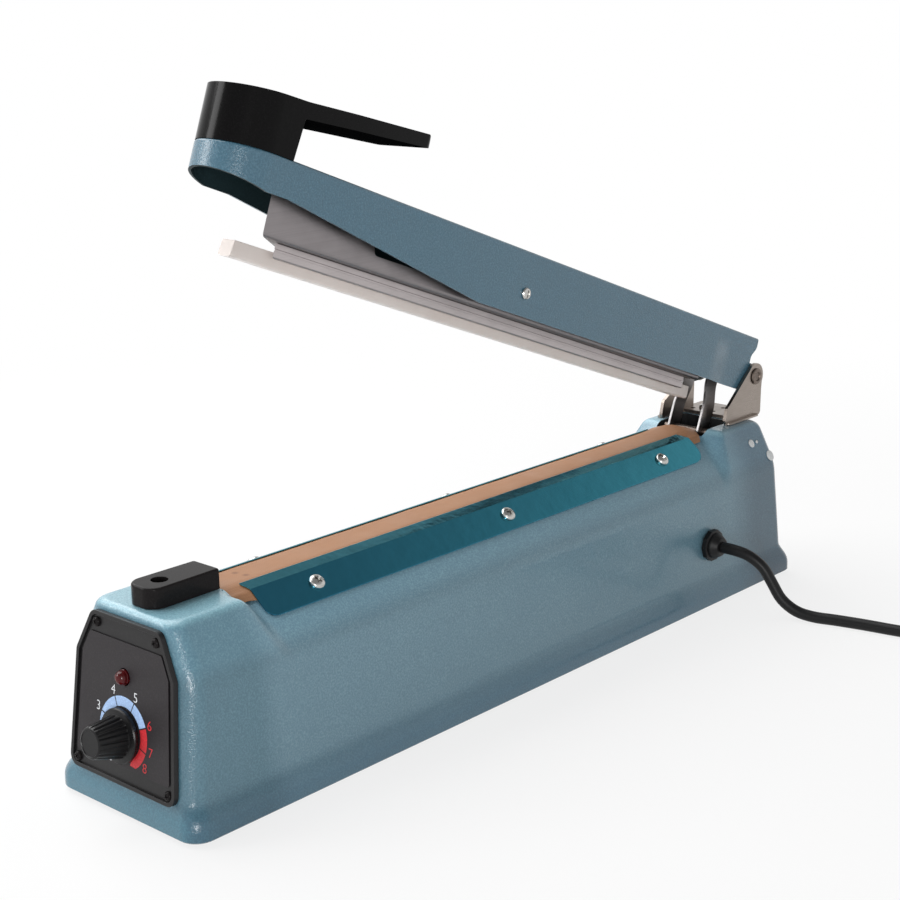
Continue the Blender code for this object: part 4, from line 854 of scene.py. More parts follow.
class Finishes:
    """Every finish of the sealer, built once."""

    def __init__(self) -> None:
        """Build the materials."""
        # The housing's colour carries painted light and shade along its axes.
        self.body = HammerPaint("housing_paint", (0.126, 0.238, 0.306), (0.19, 0.335, 0.405),
                                (0.116, 0.222, 0.292), fades=self.fades()).make()
        self.arm = HammerPaint("arm_paint", (0.05, 0.135, 0.195), (0.092, 0.20, 0.272),
                               (0.046, 0.126, 0.184)).make()
        # Near-black painted shade for the faces inside the arm cover.
        self.arm_inside = Plastic("arm_inside", (0.012, 0.026, 0.03), (0.5, 0.65), 0.1, 0.2).make()
        # Near-black painted shade for the housing's hollow and the walls of the link opening.
        self.primer = Plastic("inside_painted_shade", (0.02, 0.021, 0.022), (0.6, 0.75), 0.1, 0.2).make()
        self.handle = Plastic("handle_black", (0.0012, 0.001, 0.0012), (0.12, 0.2), 0.02, 0.1).make()
        self.under = Plastic("handle_under", (0.003, 0.003, 0.0032), (0.7, 0.85), 0.05, 0.0).make()
        self.satin = Plastic("satin_black", (0.012, 0.0105, 0.0107), (0.14, 0.22), 0.02, 0.07).make()
        self.knob = Plastic("knob_black", (0.004, 0.004, 0.0045), (0.24, 0.34), 0.03, 0.25).make()
        self.panel = Plastic("panel_black", (0.009, 0.0085, 0.009), (0.3, 0.42), 0.06, 0.3).make()
        self.label = Plastic("label_grey", (0.022, 0.019, 0.021), (0.42, 0.52), 0.04, 0.25).make()
        self.print_white = Plastic("print_white", (0.72, 0.74, 0.78), (0.5, 0.6), 0.03).make()
        self.print_blue = Plastic("print_blue", (0.36, 0.52, 0.82), (0.5, 0.6), 0.03).make()
        self.print_red = Plastic("print_red", (0.55, 0.022, 0.03), (0.5, 0.6), 0.03).make()
        # Clamp finishes carry painted shade, darker towards the front.
        self.clamp = Anodised("clamp_teal", (0.036, 0.2, 0.3), (0.04, 0.27, 0.35)).make()
        # A lighter copy of the clamp finish for the strip above the fold: painted light for its other slope.
        self.flange = Anodised("clamp_teal_flange", (0.08, 0.31, 0.39), (0.08, 0.32, 0.4)).make()
        self.zinc = Metal("screw_zinc", (0.56, 0.55, 0.53), (0.46, 0.45, 0.43), (0.18, 0.3), 0.03, 400.0).make()
        self.bracket = Metal("bracket_plated", (0.32, 0.275, 0.245), (0.27, 0.235, 0.205), (0.24, 0.38),
                             0.04, 200.0).make()
        self.link = Metal("link_steel", (0.24, 0.23, 0.23), (0.19, 0.185, 0.185), (0.26, 0.4), 0.06, 200.0).make()
        self.dull = Metal("pin_steel", (0.21, 0.17, 0.145), (0.14, 0.115, 0.1), (0.35, 0.5), 0.06, 200.0).make()
        self.channel = Metal("press_steel", (0.27, 0.25, 0.254), (0.24, 0.222, 0.226), (0.36, 0.5), 0.03).make()
        self.aluminium = Metal("drawn_aluminium", (0.46, 0.42, 0.42), (0.42, 0.385, 0.385), (0.3, 0.44),
                               0.04).make()
        self.brass = Metal("terminal_brass", (0.62, 0.43, 0.17), (0.5, 0.34, 0.13), (0.25, 0.4), 0.05).make()
        self.copper = Plastic("winding_varnish", (0.30, 0.10, 0.04), (0.3, 0.45), 0.1).make()
        self.core = Metal("core_sheets", (0.14, 0.14, 0.15), (0.2, 0.2, 0.21), (0.45, 0.6), 0.1).make()
        self.board = Plastic("board_resin", (0.2, 0.15, 0.05), (0.45, 0.6), 0.06).make()
        self.silicone = Silicone("silicone_white", (0.74, 0.68, 0.645), (0.64, 0.545, 0.495)).make()
        self.lens = Lens("lamp_red", (0.09, 0.004, 0.005), (0.05, 0.002, 0.003)).make()
        self.rubber = Plastic("cord_rubber", (0.006, 0.006, 0.0065), (0.36, 0.5), 0.05, 0.25).make()
        self.pale = Plastic("pale_plastic", (0.72, 0.74, 0.74), (0.35, 0.5), 0.05).make()
        spots = tuple(tuple(BENCH @ Vector(spot)) for spot in mm((-2.4, 64.4, 81.5), (2.9, 65.6, 81.5)))
        self.cloth = Cloth("coated_cloth", (0.435, 0.222, 0.116), (0.37, 0.182, 0.092), (0.22, 0.10, 0.05),
                           spots=spots).make()

    @staticmethod
    def fades() -> tuple[tuple[str, float, float, Point, Point], ...]:
        """Painted light and shade on the housing: painted shade at the foot, over the front block and at the rear;
        painted light above the crease, on the deck and along the front edge.
        """
        even = (1.0, 1.0, 1.0)
        # Painted shade darkens the foot, front block and rear; painted light brightens the upper walls, the deck
        # and the front edge.
        return (("Z", 6.0, 19.0, (0.53, 0.68, 0.76), even), ("Z", 60.0, 68.0, even, (1.34, 1.34, 1.34)),
                ("Z", 80.0, 82.8, even, (2.0, 1.75, 1.6)), ("Y", -206.0, -200.5, (1.6, 1.75, 1.55), even),
                ("Y", -166.0, -150.0, (0.66, 0.76, 0.78), even), ("Y", 158.0, 190.0, even, (0.4, 0.48, 0.54)))


@dataclass
class Housing:
    """Cast housing with flared foot, chamfered walls, shoulders, bed and link opening."""

    paint: Finishes
    half_width: float = 43.6 * MM
    length: float = 416.5 * MM
    rim: float = 4.4 * MM
    flare_start: float = 2.2 * MM
    flare_top: float = 15.0 * MM
    wall_half: float = 38.8 * MM
    wall_foot: float = 14.0 * MM
    crease: float = CREASE[1] * MM
    crease_half: float = CREASE[0] * MM
    crease_blend: float = 4.5 * MM
    chamfer: float = CHAMFER_SLOPE
    deck: float = 81.4 * MM
    deck_round: float = 5.0 * MM
    front_round: float = 3.0 * MM
    corner: float = 9.0 * MM
    casting: float = 2.8 * MM
    bed_half: float = 14.3 * MM
    shoulder_top: float = 78.4 * MM

    def leaning(self, height: float, lean: float, foot: float, top_round: float) -> float:
        """How far a wall leaning in from its foot has come in, rounding over onto the deck."""
        centre = self.deck - top_round
        tilt = math.atan(lean)
        if height <= centre + top_round * math.sin(tilt):
            return lean * (height - foot)
        reach = math.sqrt(max(top_round ** 2 - (height - centre) ** 2, 0.0))
        return lean * (centre - foot) + top_round / math.cos(tilt) - reach

    def front(self, height: float) -> float:
        """The front wall's distance behind the foot's front edge."""
        return 2.2 * MM + self.leaning(height, 0.11, 12.3 * MM, self.front_round)

    def rear(self, height: float) -> float:
        """The rear wall's distance behind the foot's front edge."""
        return 414.5 * MM - self.leaning(height, 0.06, self.wall_foot, self.deck_round)

    def side(self, height: float) -> float:
        """Half width of the walls, with a soft crease between wall and chamfer."""
        lean = (self.wall_half - self.crease_half) / (self.crease - self.wall_foot)
        start, end = self.crease - self.crease_blend, self.crease + self.crease_blend
        if height >= end:
            return self.crease_half - self.leaning(height, self.chamfer, self.crease, self.deck_round)
        straight = self.wall_half - lean * (height - self.wall_foot)
        if height <= start:
            return straight
        return straight - (self.chamfer - lean) * (height - start) ** 2 / (2 * (end - start))

    def ring(self, half: float, front: float, rear: float, corner: float, height: float) -> list[Point]:
        """A level rectangle with round corners, a little sharper at the rear."""
        radii = (corner, corner, 0.7 * corner, 0.7 * corner)
        return [(x, y, height) for x, y in rounded(oblong(-half, front, half, rear), radii, 10)]

    def rings(self) -> list[list[Point]]:
        """Rings from the rim up over flare, walls, chamfer and rounded top edge."""
        top, edge = self.flare_top, 0.7 * MM
        foot = (self.half_width, 0.0, self.length, self.corner)
        wall = (self.side(top), self.front(top), self.rear(top), self.corner)
        under = (foot[0] - edge, edge, self.length - edge, foot[3] - edge)
        rings = [self.ring(*under, 0.0), self.ring(*foot, edge)]
        for step in range(15):
            height = mix(self.rim - self.flare_start, top, step / 14)
            share = ramp(height, self.rim - self.flare_start, top) ** 1.9
            rings.append(self.ring(*(mix(low, high, share) for low, high in zip(foot, wall)), height))
        heights = [35.0 * MM] + [self.crease + self.crease_blend * step / 3 for step in range(-3, 4)]
        heights += [self.deck - self.deck_round * (1 - math.sin(math.radians(5.0 + 85.0 * step / 9)))
                    for step in range(10)]
        for height in heights:
            corner = mix(self.corner, 7.0 * MM, ramp(height, self.crease, self.deck))
            rings.append(self.ring(self.side(height), self.front(height), self.rear(height), corner, height))
        return rings

    def shoulder(self, x: float) -> float:
        """Height of the sloping shoulder at a distance from the middle."""
        return self.shoulder_top - SHOULDER_SLOPE * (abs(x) - self.bed_half)

    def sunk(self, spot: Vector) -> float:
        """Height of a point of the skin once the shoulders are cast away, with soft ramps at their ends."""
        if spot.z < 50 * MM:
            return spot.z
        weight = ramp(abs(spot.x), 8.8 * MM, self.bed_half)
        ramps = self.shoulder_top + max(49 * MM - spot.y, spot.y - 371 * MM) / 0.36
        bed = -soft_low(-self.shoulder(spot.x), -ramps, 15 * MM)
        return mix(spot.z, soft_low(spot.z, bed, 11 * MM), weight)

    def sink_shoulders(self, housing: Obj) -> None:
        """Draw the skin down to the sloping shoulders beside the bed."""
        cuts = [((0, 1, 0), mix(40, 64, step / 26)) for step in range(27)]
        cuts += [((0, 1, 0), mix(356, 382, step / 28)) for step in range(29)]
        levels = [8.8, 10.2, 11.6, 13.0] + [mix(14.3, 37, step / 18) for step in range(19)]
        cuts += [((1, 0, 0), side * x) for side in (1, -1) for x in levels]
        for vert in sliced(housing, cuts).data.vertices:
            vert.co.z = self.sunk(vert.co)

    def seat_cutter(self, side: int) -> Obj:
        """Seat in a shoulder for the cloth's edge and its clamp plate."""
        low, high, deep = self.bed_half - 0.1 * MM, 24.0 * MM, 1.2 * MM
        section = [(low, self.shoulder(low) - deep), (high, self.shoulder(high) - deep),
                   (high, self.shoulder(high) + 4 * MM), (low, self.shoulder(low) + 4 * MM)]
        return prism("cutter", [(side * x, z) for x, z in section], Axis.Y, 60.0 * MM, 357.0 * MM)

    def cutters(self) -> list[Obj]:
        """Shapes to cut away: seats, bed, rabbet, hollow, link opening, panel window and gland hole."""
        sky, pocket = self.deck + 10 * MM, self.bed_half - 0.1 * MM
        crown = mirrored([(14.5 * MM, sky)] + mm((14.5, 78.2), (9, 80.4)))
        rabbet = self.ring(41.0 * MM, 2.6 * MM, 413.9 * MM, 6.4 * MM, 0.0)
        hollow = []
        for z, half in mm((2.3, 36.0), (59, 33.2), (71, 19.3)):
            level = max(z, self.flare_top)
            front, rear = self.front(level) + self.casting, self.rear(level) - self.casting
            hollow.append(self.ring(half, front, rear, 7 * MM, z))
        opening = rounded(mm(*oblong(-15, 369.5, 15, 396.5)), 3 * MM)
        window = mirrored(mm((27, 18.3), (24.5, 60), (17, 69)))
        return [self.seat_cutter(1), self.seat_cutter(-1),
                prism("cutter", crown, Axis.Y, 48.2 * MM, 376 * MM),
                block("cutter", (-pocket, 52 * MM, 74 * MM), (pocket, 366.5 * MM, sky)),
                prism("cutter", [(x, y) for x, y, _ in rabbet], Axis.Z, -MM, 2.8 * MM),
                loft("cutter", hollow),
                prism("cutter", opening, Axis.Z, 60 * MM, sky),
                prism("cutter", window, Axis.Y, -5 * MM, 25 * MM),
                rod(Axis.X, GLAND_SPOT, 5.9 * MM, 30 * MM, 45 * MM)]

    def is_inside(self, spot: Vector, normal: Vector) -> bool:
        """Whether a face of the housing looks into the hollow or lines the link opening."""
        in_opening = abs(spot.x) < 15.2 * MM and 369 * MM < spot.y < 397 * MM
        if in_opening and 60 * MM < spot.z < 80.4 * MM and abs(normal.z) < 0.7:
            return True
        margin, level = 1.2 * MM, max(spot.z, self.flare_top)
        between = self.front(level) + margin < spot.y < self.rear(level) - margin
        deep = between and abs(spot.x) < self.side(level) - margin
        spine = Vector((0.0, min(max(spot.y, 60 * MM), 350 * MM), 35 * MM))
        return 2.9 * MM < spot.z < 71.5 * MM and deep and normal.dot(spot - spine) < 0

    def build_underside(self) -> None:
        """Pressed bottom plate with vents, and the rubber feet."""
        ring = self.ring(40.7 * MM, 2.9 * MM, 413.6 * MM, 6.1 * MM, 0.0)
        plate = prism("plate", [(x, y) for x, y, _ in ring], Axis.Z, MM, 2.5 * MM)
        bevel_edges(plate, 0.35 * MM, 2, bend_over(60.0))
        for y in range(150, 290, 14):
            slot = rounded(mm(*oblong(-14, y - 2, 14, y + 2)), 1.9 * MM, 4)
            carve(plate, prism("cutter", slot, Axis.Z, 0.0, 4 * MM))
        settle(plate, "pressed_bottom_plate", self.paint.bracket, Body.BASE,
               replaces=["bottom_plate"])
        profile = mm((5.4, -1.6), (6.0, -1.45), (6.5, -0.9), (7.3, 0.5), (7.0, 0.7))
        for index, spot in enumerate(mm((30, 24), (-30, 24), (30, 392), (-30, 392)), start=1):
            foot = turned("foot", profile, 32, Axis.Z, spot)
            carve(foot, rod(Axis.Z, spot, 2.2 * MM, -2 * MM, -0.7 * MM, 20))
            settle(foot, f"moulded_foot_{index}", self.paint.rubber, Body.BASE,
                   replaces=[f"rubber_foot_{index}"])

    def build(self) -> None:
        """Model, cut and dress the housing, bottom plate and feet."""
        housing = loft("housing", self.rings())
        self.sink_shoulders(housing)
        carve(housing, *self.cutters())
        settle(housing, "cast_housing", self.paint.body, Body.BASE, replaces=["base_housing"],
               smooth=24.0)
        back = BENCH.inverted()
        # Faces in the hollow and the link opening get painted shade.
        repaint(housing, self.paint.primer, lambda face: self.is_inside(back @ face.center, face.normal))
        self.build_underside()


@dataclass
class Screws:
    """Pan head screws with a cross recess, each turned a little further than the last."""

    count: int = 0

    @staticmethod
    def head(radius: float, height: float) -> Obj:
        """A domed head with a cross recess, standing on its seat at zero."""
        dome = ((1.0, 0.3), (0.94, 0.58), (0.78, 0.82), (0.5, 0.96), (0.12, 1.0))
        profile = [(radius * 0.45, -0.6 * MM), (radius * 0.45, 0.0), (radius, 0.0)]
        screw = turned("screw", profile + [(radius * wide, height * tall) for wide, tall in dome], 32)
        arm, wide = radius * 0.56, radius * 0.13
        for long, short in ((arm, wide), (wide, arm)):
            rings = [[(x, y, z) for x, y in oblong(-long * grow, -short * grow, long * grow, short * grow)]
                     for grow, z in ((0.55, height * 0.35), (1.15, height * 1.4))]
            carve(screw, loft("cutter", rings))
        return screw

    def place(self, name: str, node: str, size: Flat, where: Matrix, material: Material,
              slot: str = "plated_steel") -> None:
        """Set one screw on its seat.

        Args:
            name: Name of the piece.
            node: CAD node that it stands for.
            size: Radius and height of the head in millimetres.
            where: Place of its seat in the row frame.
            material: Its finish.
            slot: Material slot; not used.
        """
        self.count += 1
        turn = Matrix.Rotation(math.radians(37.0 * self.count), 4, "Z")
        settle(self.head(size[0] * MM, size[1] * MM), name, material, Body.BASE, where @ turn, [node])


@dataclass
class Bed:
    """Clamp plates, their screws and the cloth on the sealing bed."""

    paint: Finishes
    screws: Screws
    front: float = 58.2 * MM
    rear: float = 359.6 * MM
    sheet: float = 0.5 * MM
    fold: float = 13.7 * MM
    inner_edge: float = 9.0 * MM
    inner_height: float = 81.75 * MM
    lower_edge: float = 25.3 * MM
    corners: Flat = (5.0 * MM, 8.5 * MM)
    fold_share: float = 12 / 44
    screw_out: float = 19.2 * MM
    cloth_front: float = 48.7 * MM
    cloth_rear: float = 375.5 * MM

    @staticmethod
    def surface(x: float) -> float:
        """Height of a clamp plate's outer face."""
        return 79.4 * MM - SHOULDER_SLOPE * (x - 14.3 * MM)

    def plate_point(self, side: int, along: float, across: float) -> Point:
        """A point of a plate's outer face: along its length and across from inner to lower edge."""
        slope = math.hypot(1.0, SHOULDER_SLOPE)
        lower = (self.lower_edge - self.fold) * slope
        if across <= self.fold_share:
            share = across / self.fold_share
            x, z = mix(self.inner_edge, self.fold, share), mix(self.inner_height, self.surface(self.fold), share)
            start = self.front - 1.6 * MM * (1 - ramp(share, 0.0, 1.0))
            end = self.rear - 4.4 * MM * (1 - share)
        else:
            travel = lower * (across - self.fold_share) / (1 - self.fold_share)
            x = self.fold + travel / slope
            z = self.surface(x)
            into = [max(travel - lower + radius, 0.0) for radius in self.corners]
            trim = [radius - math.sqrt(radius ** 2 - depth ** 2) for radius, depth in zip(self.corners, into)]
            start, end = self.front + trim[0], self.rear - trim[1]
        return (side * x, mix(start, end, along), z)

    def build_plates(self) -> None:
        """Both clamp plates with rounded edges, and their screws."""
        number = 0
        for name, side in (("right", 1), ("left", -1)):
            plate = face_up(sheet_grid("plate", 60, 44, lambda u, v: self.plate_point(side, u, v)))
            apply(plate, "SOLIDIFY", thickness=self.sheet, offset=-1.0)
            bevel_edges(plate, 0.18 * MM, 2, bend_over(60.0))
            settle(plate, f"clamp_strip_{name}", self.paint.clamp, Body.BASE,
                   replaces=[f"clamp_plate_{name}"], smooth=14.0)
            # The strip above the fold gets the lighter copy: painted light.
            repaint(plate, self.paint.flange, lambda face: abs(face.center.x) < self.fold)
            for index in range(3):
                number += 1
                seat = (side * self.screw_out, (88.9 + 119.7 * index) * MM, self.surface(self.screw_out))
                tilt = Matrix.Rotation(side * math.atan(SHOULDER_SLOPE), 4, "Y")
                where = BENCH @ Matrix.Translation(seat) @ tilt @ Matrix.Translation((0.0, 0.0, GAP / 2))
                self.screws.place(f"clamp_pan_screw_{number}", f"clamp_screw_{number}", (3.5, 2.0), where,
                                  self.paint.zinc)

    @staticmethod
    def cloth_height(x: float) -> float:
        """Height of the cloth's face across the bed: flat, over the crown and down the shoulder."""
        out = abs(x)
        crown = 81.4 * MM - 0.18 * max(out - 6.5 * MM, 0.0)
        knee = 80.95 * MM - 0.404 * (out - 9.0 * MM)
        wing = 79.05 * MM - SHOULDER_SLOPE * (out - 13.7 * MM)
        return min(crown, knee, wing)

    def cloth_point(self, u: float, v: float) -> Point:
        """A point of the cloth from its two shares: along the bed and across it."""
        across = 2 * v - 1
        held = ramp(u, 0.015, 0.035) * (1 - ramp(u, 0.955, 0.985))
        x = across * mix(16.9, 17.4, held) * MM
        curl = (0.0345 if x > 0 else 0.025) / MM
        y = mix(self.cloth_front, self.cloth_rear - curl * x ** 2, u)
        ripple = math.sin(y / (5.2 * MM)) * math.sin(across * 5.0 + y / (17 * MM))
        wave = 0.06 * MM * ripple * ramp(abs(across), 0.0, 0.3)
        sag = 1.5 * MM * ramp(y, 366.5 * MM, self.cloth_rear) * (0.5 + 0.5 * across)
        sag += 0.5 * MM * ramp(y, 370 * MM, 376 * MM)
        lift = 0.35 * MM * (1 - held) * ramp(abs(x), 12 * MM, 14 * MM)
        return (x, y, self.cloth_height(x) + wave + lift - sag)

    def build_cloth(self) -> None:
        """The coated cloth as one thin sheet."""
        cloth = face_up(sheet_grid("cloth", 200, 44, self.cloth_point))
        apply(cloth, "SOLIDIFY", thickness=0.25 * MM, offset=-1.0)
        settle(cloth, "coated_cloth_strip", self.paint.cloth, Body.BASE,
               replaces=["ptfe_cover"], smooth=45.0)

    def build_stop(self) -> None:
        """Stop block with its counterbored hole and screw."""
        low, top, hole = 81.7 * MM, 90.0 * MM, Vector(STOP_HOLE)
        outline = rounded(mm((-8.6, 14), (8.6, 14), (8, 48.4), (-8, 48.4)),
                          (6.5 * MM, 6.5 * MM, 1.6 * MM, 1.6 * MM), 10)
        stop = prism("stop", outline, Axis.Z, low, top)
        bevel_edges(stop, 1.1 * MM, 4, above(top - 1e-6))
        carve(stop, rod(Axis.Z, STOP_HOLE, 3.4 * MM, 84.3 * MM, 92 * MM))
        bevel_edges(stop, 0.35 * MM, 2, lambda edge: above(top - 1e-5)(edge) and all(
            (vert.co.xy - hole).length < 3.6 * MM for vert in edge.verts))
        settle(stop, "moulded_stop", self.paint.satin, Body.BASE, replaces=["stop_block"])
        where = BENCH @ Matrix.Translation((*STOP_HOLE, 84.6 * MM))
        self.screws.place("stop_pan_screw", "stop_block_screw", (3.0, 1.8), where, self.paint.satin)

    def build(self) -> None:
        """Build everything on the deck in front of the hinge."""
        self.build_plates()
        self.build_cloth()
        self.build_stop()


@dataclass
class Panel:
    """Control panel: rim, label with printed dial, screws, lamp and knob."""

    paint: Finishes
    screws: Screws
    levels: tuple[Flat, ...] = ((0.0, 32.5 * MM), (48.7 * MM, 29.8 * MM), (66.1 * MM, 20.7 * MM))
    face: float = 1.5 * MM
    rim: float = 2.5 * MM
    label_front: float = 2.1 * MM
    lamp: float = 3.2 * MM
    ring_inner: float = 10.6 * MM
    ring_outer: float = 14.6 * MM
    number_radius: float = 17.2 * MM
    cold_steps: int = 5
    flutes: int = 18
    ticks: tuple[float, ...] = (243.0, 200.0, 157.0, 112.5, 65.5, 22.7, -18.0, -57.0)
    number_angles: tuple[float, ...] = (225.0, 200.0, 156.0, 113.0, 66.0, 24.0, -12.0, -38.0)

    def outline(self) -> list[Flat]:
        """The panel's six corners."""
        return mirrored([(half, up) for up, half in self.levels])

    def half_width(self, up: float) -> float:
        """Half width of the panel at a distance up its face."""
        (low, low_half), (middle, middle_half), (high, high_half) = self.levels
        if up <= middle:
            return mix(low_half, middle_half, (up - low) / (middle - low))
        return mix(middle_half, high_half, (up - middle) / (high - middle))

    def drill(self, plate: Obj) -> None:
        """Holes for the lamp and the knob's shaft."""
        for up, radius in ((LAMP_UP, self.lamp + GAP), (KNOB_UP, 4.2 * MM)):
            carve(plate, rod(Axis.Z, (0.0, up), radius, -MM, 5 * MM))

    def build_frame(self) -> None:
        """Moulded frame with a rounded rim and sunk face."""
        outline = self.outline()
        shell = prism("shell", rounded(outline, 4.5 * MM, 8), Axis.Z, GAP, self.rim)
        inner = rounded(inset(outline, 1.7 * MM), 3.0 * MM, 8)
        carve(shell, prism("cutter", inner, Axis.Z, self.face, self.rim + MM))
        bevel_edges(shell, 0.7 * MM, 4, above(self.rim - 1e-5))
        self.drill(shell)
        settle(shell, "panel_frame", self.paint.panel, Body.BASE, PANEL, ["control_panel"])
        places = [(side * x, up) for x, up in mm((18.0, 61.4), (27.9, 4.0)) for side in (1, -1)]
        for index, (x, up) in enumerate(places, start=1):
            where = PANEL @ Matrix.Translation((x, up, self.face + 0.1 * MM))
            self.screws.place(f"panel_pan_screw_{index}", f"panel_screw_{index}", (2.0, 1.3), where,
                              self.paint.satin, "black_plastic")

    def build_label(self) -> None:
        """Label plate with its printed ring, ticks and numbers, and the lamp."""
        right = [(self.half_width(up) - 3.5 * MM, up) for up in (7.5 * MM, 48.7 * MM, 57.3 * MM)]
        label = prism("label", rounded(mirrored(right), 1.2 * MM, 4), Axis.Z, self.face + GAP / 2,
                      self.label_front)
        self.drill(label)
        bevel_edges(label, 0.15 * MM, 2, bend_over(60.0))
        settle(label, "label_plate", self.paint.label, Body.BASE, PANEL, ["dial_plate"])
        self.build_scale()
        wide, rise, lip = self.lamp - 0.25 * MM, 2.9 * MM, 0.2 * MM
        profile = [(wide, -9 * MM), (wide, 1.9 * MM), (wide + lip, 2.15 * MM), (wide + lip, 2.6 * MM),
                   (wide, 2.75 * MM)]
        profile += [(wide * math.cos(math.radians(turn)), rise + wide * math.sin(math.radians(turn)))
                    for turn in range(0, 90, 10)]
        lens = turned("lens", profile + [(0.1 * MM, rise + wide)], 40, Axis.Z, (0.0, LAMP_UP))
        settle(lens, "lamp_lens", self.paint.lens, Body.BASE, PANEL, ["indicator_lamp"])

    def printed(self, outline: Sequence[Flat]) -> Obj:
        """A thin coat of print on the label."""
        return prism("print", outline, Axis.Z, self.label_front + 0.01 * MM, self.label_front + 0.07 * MM)

    def sector(self, start: float, end: float) -> Obj:
        """A printed piece of the ring between two angles in degrees."""
        steps = max(2, round(abs(end - start) / 4))
        return self.printed(arc((0.0, 0.0), self.ring_outer, start, end, steps)
                            + arc((0.0, 0.0), self.ring_inner, end, start, steps))

    def pointed_end(self, gap: float) -> Obj:
        """The red scale's tapering tail."""
        last, tip = self.ticks[-1] + gap, math.radians(self.ticks[-1] - 11.0)
        middle = (self.ring_inner + self.ring_outer) / 2
        base = [arc((0.0, 0.0), radius, last, last, 1)[0] for radius in (self.ring_inner, self.ring_outer)]
        return self.printed(base + [(middle * math.cos(tip), middle * math.sin(tip))])

    def number(self, text: str, angle: float) -> Obj:
        """A printed numeral beside the ring."""
        bpy.ops.object.select_all(action="DESELECT")
        bpy.ops.object.text_add()
        settings = {"body": text, "size": 5.6 * MM, "offset": -0.05 * MM, "align_x": "CENTER",
                    "align_y": "CENTER", "extrude": 0.03 * MM}
        for name, value in settings.items():
            setattr(bpy.context.active_object.data, name, value)
        bpy.ops.object.convert(target="MESH")
        numeral = bpy.context.active_object
        spot = arc((0.0, 0.0), self.number_radius, angle, angle, 1)[0]
        numeral.data.transform(Matrix.Translation((*spot, self.label_front + 0.04 * MM)))
        return numeral

    def build_scale(self) -> None:
        """Blue and red ring pieces between dark ticks, with numerals."""
        gap = 1.2
        spans = [(start - gap, end + gap) for start, end in zip(self.ticks, self.ticks[1:])]
        blue = [self.sector(*ends) for ends in spans[:self.cold_steps]]
        red = [self.sector(*ends) for ends in spans[self.cold_steps:]] + [self.pointed_end(gap)]
        numbers = [self.number(str(index), angle) for index, angle in enumerate(self.number_angles, start=1)]
        prints = (("dial_blue_scale", blue, self.paint.print_blue), ("dial_red_scale", red, self.paint.print_red),
                  ("dial_white_numbers", numbers[:self.cold_steps], self.paint.print_white),
                  ("dial_red_numbers", numbers[self.cold_steps:], self.paint.print_red))
        for name, parts, material in prints:
            settle(joined(*parts), name, material, Body.BASE, PRINT, smooth=0.0)

    def build_knob(self) -> None:
        """Fluted knob with a skirt, sunk cap and pointer dot."""
        count = 216
        turns = [2 * math.pi * step / count for step in range(count)]
        levels = ((2.9, 10.4, 0.0), (3.2, 11.0, 0.0), (4.4, 11.0, 0.0), (4.9, 10.6, 0.0), (5.1, 9.6, 0.0),
                  (5.3, 8.7, 0.1), (6.0, 8.5, 0.22), (15.9, 6.6, 0.22), (16.7, 6.4, 0.15), (17.3, 6.1, 0.0),
                  (17.6, 5.6, 0.0), (17.6, 5.3, 0.0), (17.35, 5.1, 0.0), (17.3, 0.6, 0.0))
        rings = []
        for height, radius, flute in levels:
            reach = [(radius - 2 * flute * (0.5 * (1 - math.cos(self.flutes * turn))) ** 3) * MM for turn in turns]
            rings.append([(far * math.cos(turn), far * math.sin(turn), height * MM)
                          for far, turn in zip(reach, turns)])
        knob = loft("knob", rings)
        carve(knob, rod(Axis.Z, (0.0, 0.0), 3.3 * MM, 0.0, 14.4 * MM))
        settle(knob, "fluted_knob", self.paint.knob, Body.KNOB, DIAL, ["timer_knob"])
        spot = arc((0.0, 0.0), 10.3 * MM, 252.0, 252.0, 1)[0]
        dot = turned("dot", mm((0.6, 4.6), (0.6, 5.1), (0.35, 5.2)), 20, Axis.Z, spot)
        settle(dot, "knob_pointer_dot", self.paint.print_white, Body.KNOB, DIAL)

    def build(self) -> None:
        """Build the whole panel."""
        self.build_frame()
        self.build_label()
        self.build_knob()


